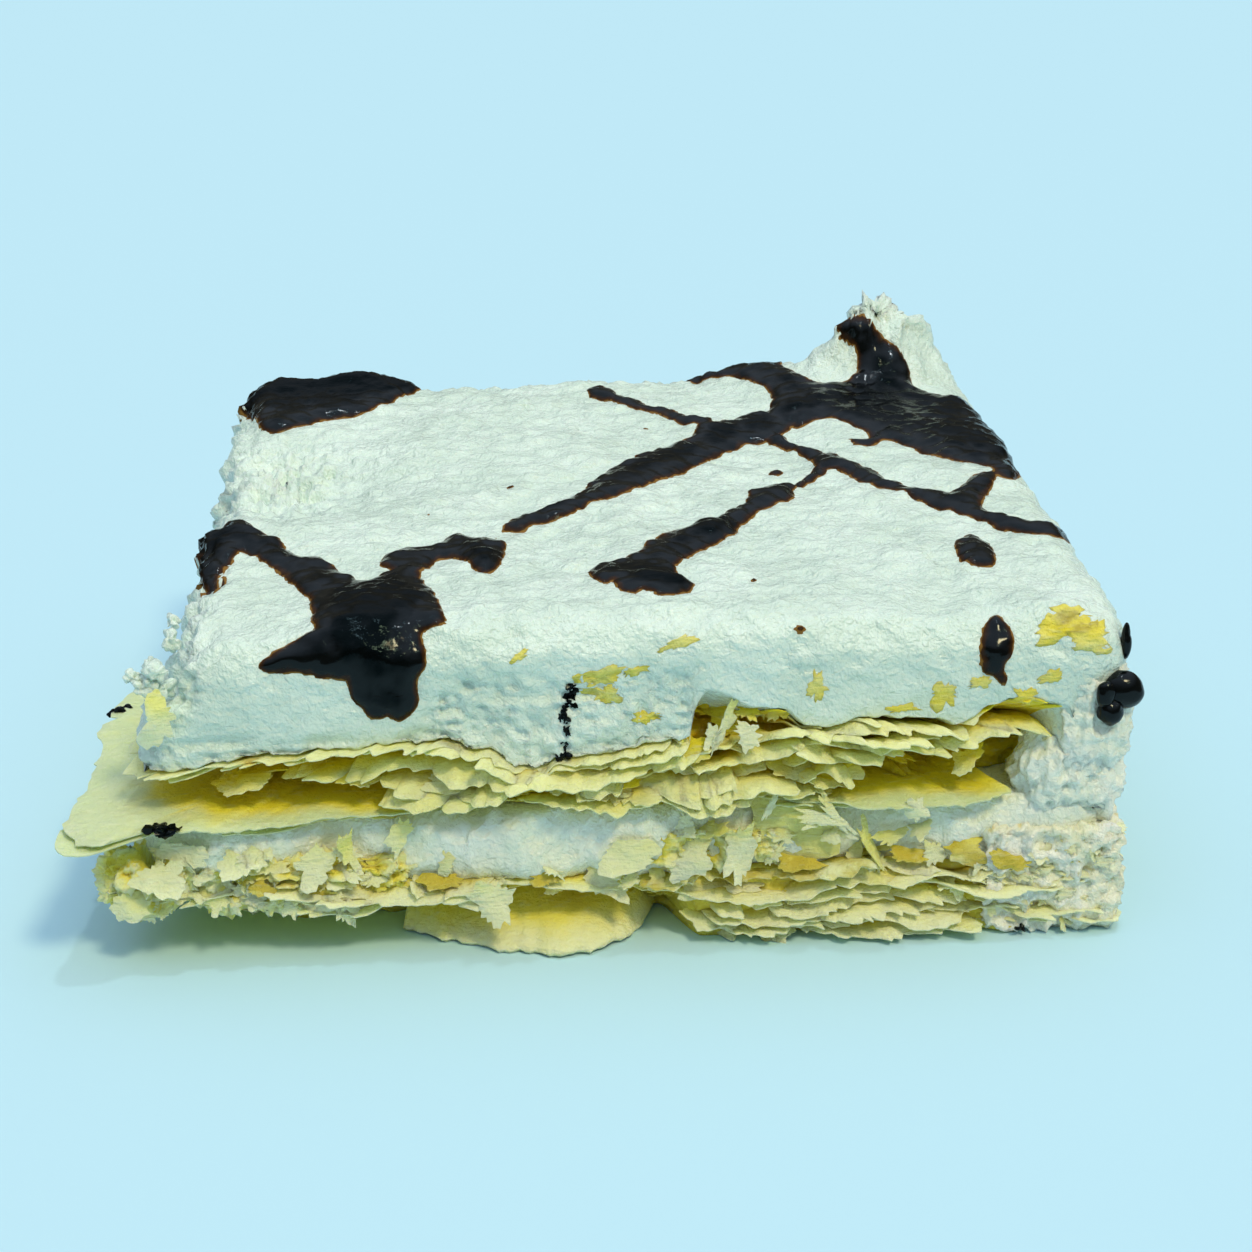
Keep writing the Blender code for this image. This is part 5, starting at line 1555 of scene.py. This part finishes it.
# Crumbs: x, y, z and radius; the crack is a line of dark crumbs from one place to another
crumbs = {
    "crack": ((-9.1, 30.6), (-10.2, 22.0), 20),
    "dark": ((-60.4, -17.3, 16.9, 0.6), (-59.6, -17.0, 16.9, 0.5), (-52.6, -48.0, 16.2, 0.55),
             (-51.7, -48.2, 16.1, 0.45), (-50.6, -48.1, 16.0, 0.4), (39.8, -47.3, 0.8, 0.3)),
    "white": ((-52.6, -44.0, 31.4, 1.2), (-53.6, -44.4, 30.8, 0.9), (-51.8, -44.6, 32.4, 0.9),
              (-54.4, -44.0, 31.6, 0.7), (-52.6, -43.0, 32.8, 0.8), (-51.4, -43.6, 30.2, 1.1),
              (-51.0, -38.0, 33.4, 1.0), (-51.2, -34.0, 34.0, 0.8)),
}


def makeCrumbs(chocolate, cream):
    chance = np.random.default_rng(207)
    (topX, topZ), (lowX, lowZ), count = crumbs["crack"]
    shape = Shape()
    for share in np.linspace(0, 1, count):
        x = topX + (lowX - topX) * share + chance.uniform(-0.35, 0.35)
        z = topZ + (lowZ - topZ) * share
        skin = np.array([[x, -halfDepth, z]])
        y = -halfDepth - creamRelief(skin)[0] + 0.1
        radius = chance.uniform(0.14, 0.4)
        radii = (radius, radius * 0.8, radius * 1.2)
        addLump(shape, (x, y, z), radii, 5, 0.5, 300 + int(share * 99), 0.6, thickness=0.8)
    for number, (x, y, z, radius) in enumerate(crumbs["dark"]):
        radii = (radius * 1.3, radius, radius * 0.7)
        addLump(shape, (x, y, z), radii, 6, 0.5, 330 + number, 0.6, thickness=0.8)
    piece = shape.make("darkCrumbs", chocolate, 40)
    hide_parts("cream_topping")
    shape = Shape()
    for number, (x, y, z, radius) in enumerate(crumbs["white"]):
        addLump(shape, (x, y, z), (radius, radius, radius * 0.8), 9, 0.6, 350 + number, 0.7)
    piece = shape.make("creamCrumbs", cream)
    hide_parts("cream_topping")


studio = {
    "floorColour": (0.52, 0.77, 0.88),
    "floorRadius": 20.0,
    # strength, colour, where the light comes from, softness in degrees
    "lights": {
        "sun": (1.46, (1.0, 0.86, 0.50), (0.40, -0.68, 1.10), 11.0),
        "lightAbove": (0.34, (0.86, 0.95, 1.0), (0.08, 0.02, 1.0), 2.6),
    },
    "skyLow": (0.12, 0.12, 0.10),
    "skyHigh": (0.86, 1.02, 1.26),
    "skyRise": (0.35, 0.9),      # upward share where the sky starts and stops changing
    "lens": 69.0,
    "sensor": 36.0,
    "elevation": 20.7,
    "azimuth": -4.0,
    "distance": 297.0,
    "target": (-0.2, 0.0, 19.4),
}


def makeStudio():
    scene = bpy.context.scene
    mesh = bpy.data.meshes.new("floor")
    corners = 64
    turns = [2 * math.pi * k / corners for k in range(corners)]
    radius = studio["floorRadius"]
    mesh.from_pydata([(radius * math.cos(t), radius * math.sin(t), 0) for t in turns], [],
                     [list(range(corners))])
    fixed = {"Base Color": (*studio["floorColour"], 1), "Roughness": 0.9, "Specular IOR Level": 0.1}
    mesh.materials.append(newMaterial("floorPaper", fixed).owner)
    floor = bpy.data.objects.new("floor", mesh)
    scene.collection.objects.link(floor)

    for name, (strength, colour, source, softness) in studio["lights"].items():
        light = bpy.data.objects.new(name, bpy.data.lights.new(name, "SUN"))
        light.data.energy = strength
        light.data.angle = math.radians(softness)
        light.data.color = colour
        light.rotation_euler = Vector(source).to_track_quat("Z", "Y").to_euler()
        scene.collection.objects.link(light)

    scene.world = bpy.data.worlds.new("studioSky")
    sky = Graph(scene.world, "Background", {})
    heading = sky.add("ShaderNodeTexCoord", {}, {}, "Generated")
    upward = sky.add("ShaderNodeSeparateXYZ", {}, {"Vector": heading}, "Z")
    low, high = studio["skyRise"]
    share = (upward - low) * (1 / (high - low))
    sky.feed(Color=sky.mix(share, studio["skyLow"], studio["skyHigh"]))

    tilt, swing = math.radians(studio["elevation"]), math.radians(studio["azimuth"])
    back = Vector((math.sin(swing) * math.cos(tilt), -math.cos(swing) * math.cos(tilt), math.sin(tilt)))
    target = Vector(studio["target"]) + Vector((*slab["middle"], 0))
    camera = bpy.data.objects.new("camera", bpy.data.cameras.new("camera"))
    camera.data.lens = studio["lens"]
    camera.data.sensor_width = studio["sensor"]
    camera.data.clip_start = 0.01
    camera.data.clip_end = 100.0
    camera.location = (target + back * studio["distance"]) * mm
    camera.rotation_euler = back.to_track_quat("Z", "Y").to_euler()
    scene.collection.objects.link(camera)
    scene.camera = camera
    scene.view_settings.view_transform = "Standard"


makeStudio()
print("studio done")
toppingCream = whippedCream("toppingCream", topping["tint"], topping["shade"])
makeTopping(toppingCream)
print("topping done")
chocolate = setChocolate()
makeDrizzle(chocolate)
print("drizzle done")
palePastry, brownedPastry = pastry("palePastry", upperLeaves), pastry("brownedPastry", lowerLeaves)
makeUpperPastry(palePastry, pastry("sheetPastry", wideSheet))
makeLowerPastry(brownedPastry)
print("pastry done")
fillingCream = whippedCream("fillingCream", filling["tint"], filling["shade"])
makeFilling(fillingCream)
makeCrumble(fillingCream, brownedPastry)
print("filling done")
makeLooseFlakes(palePastry, brownedPastry, pastry("lightPastry", looseFlakes))
makeGroundFlake(brownedPastry)
makeStuckFlakes(palePastry)
makeCrumbs(chocolate, toppingCream)
print("flakes done")
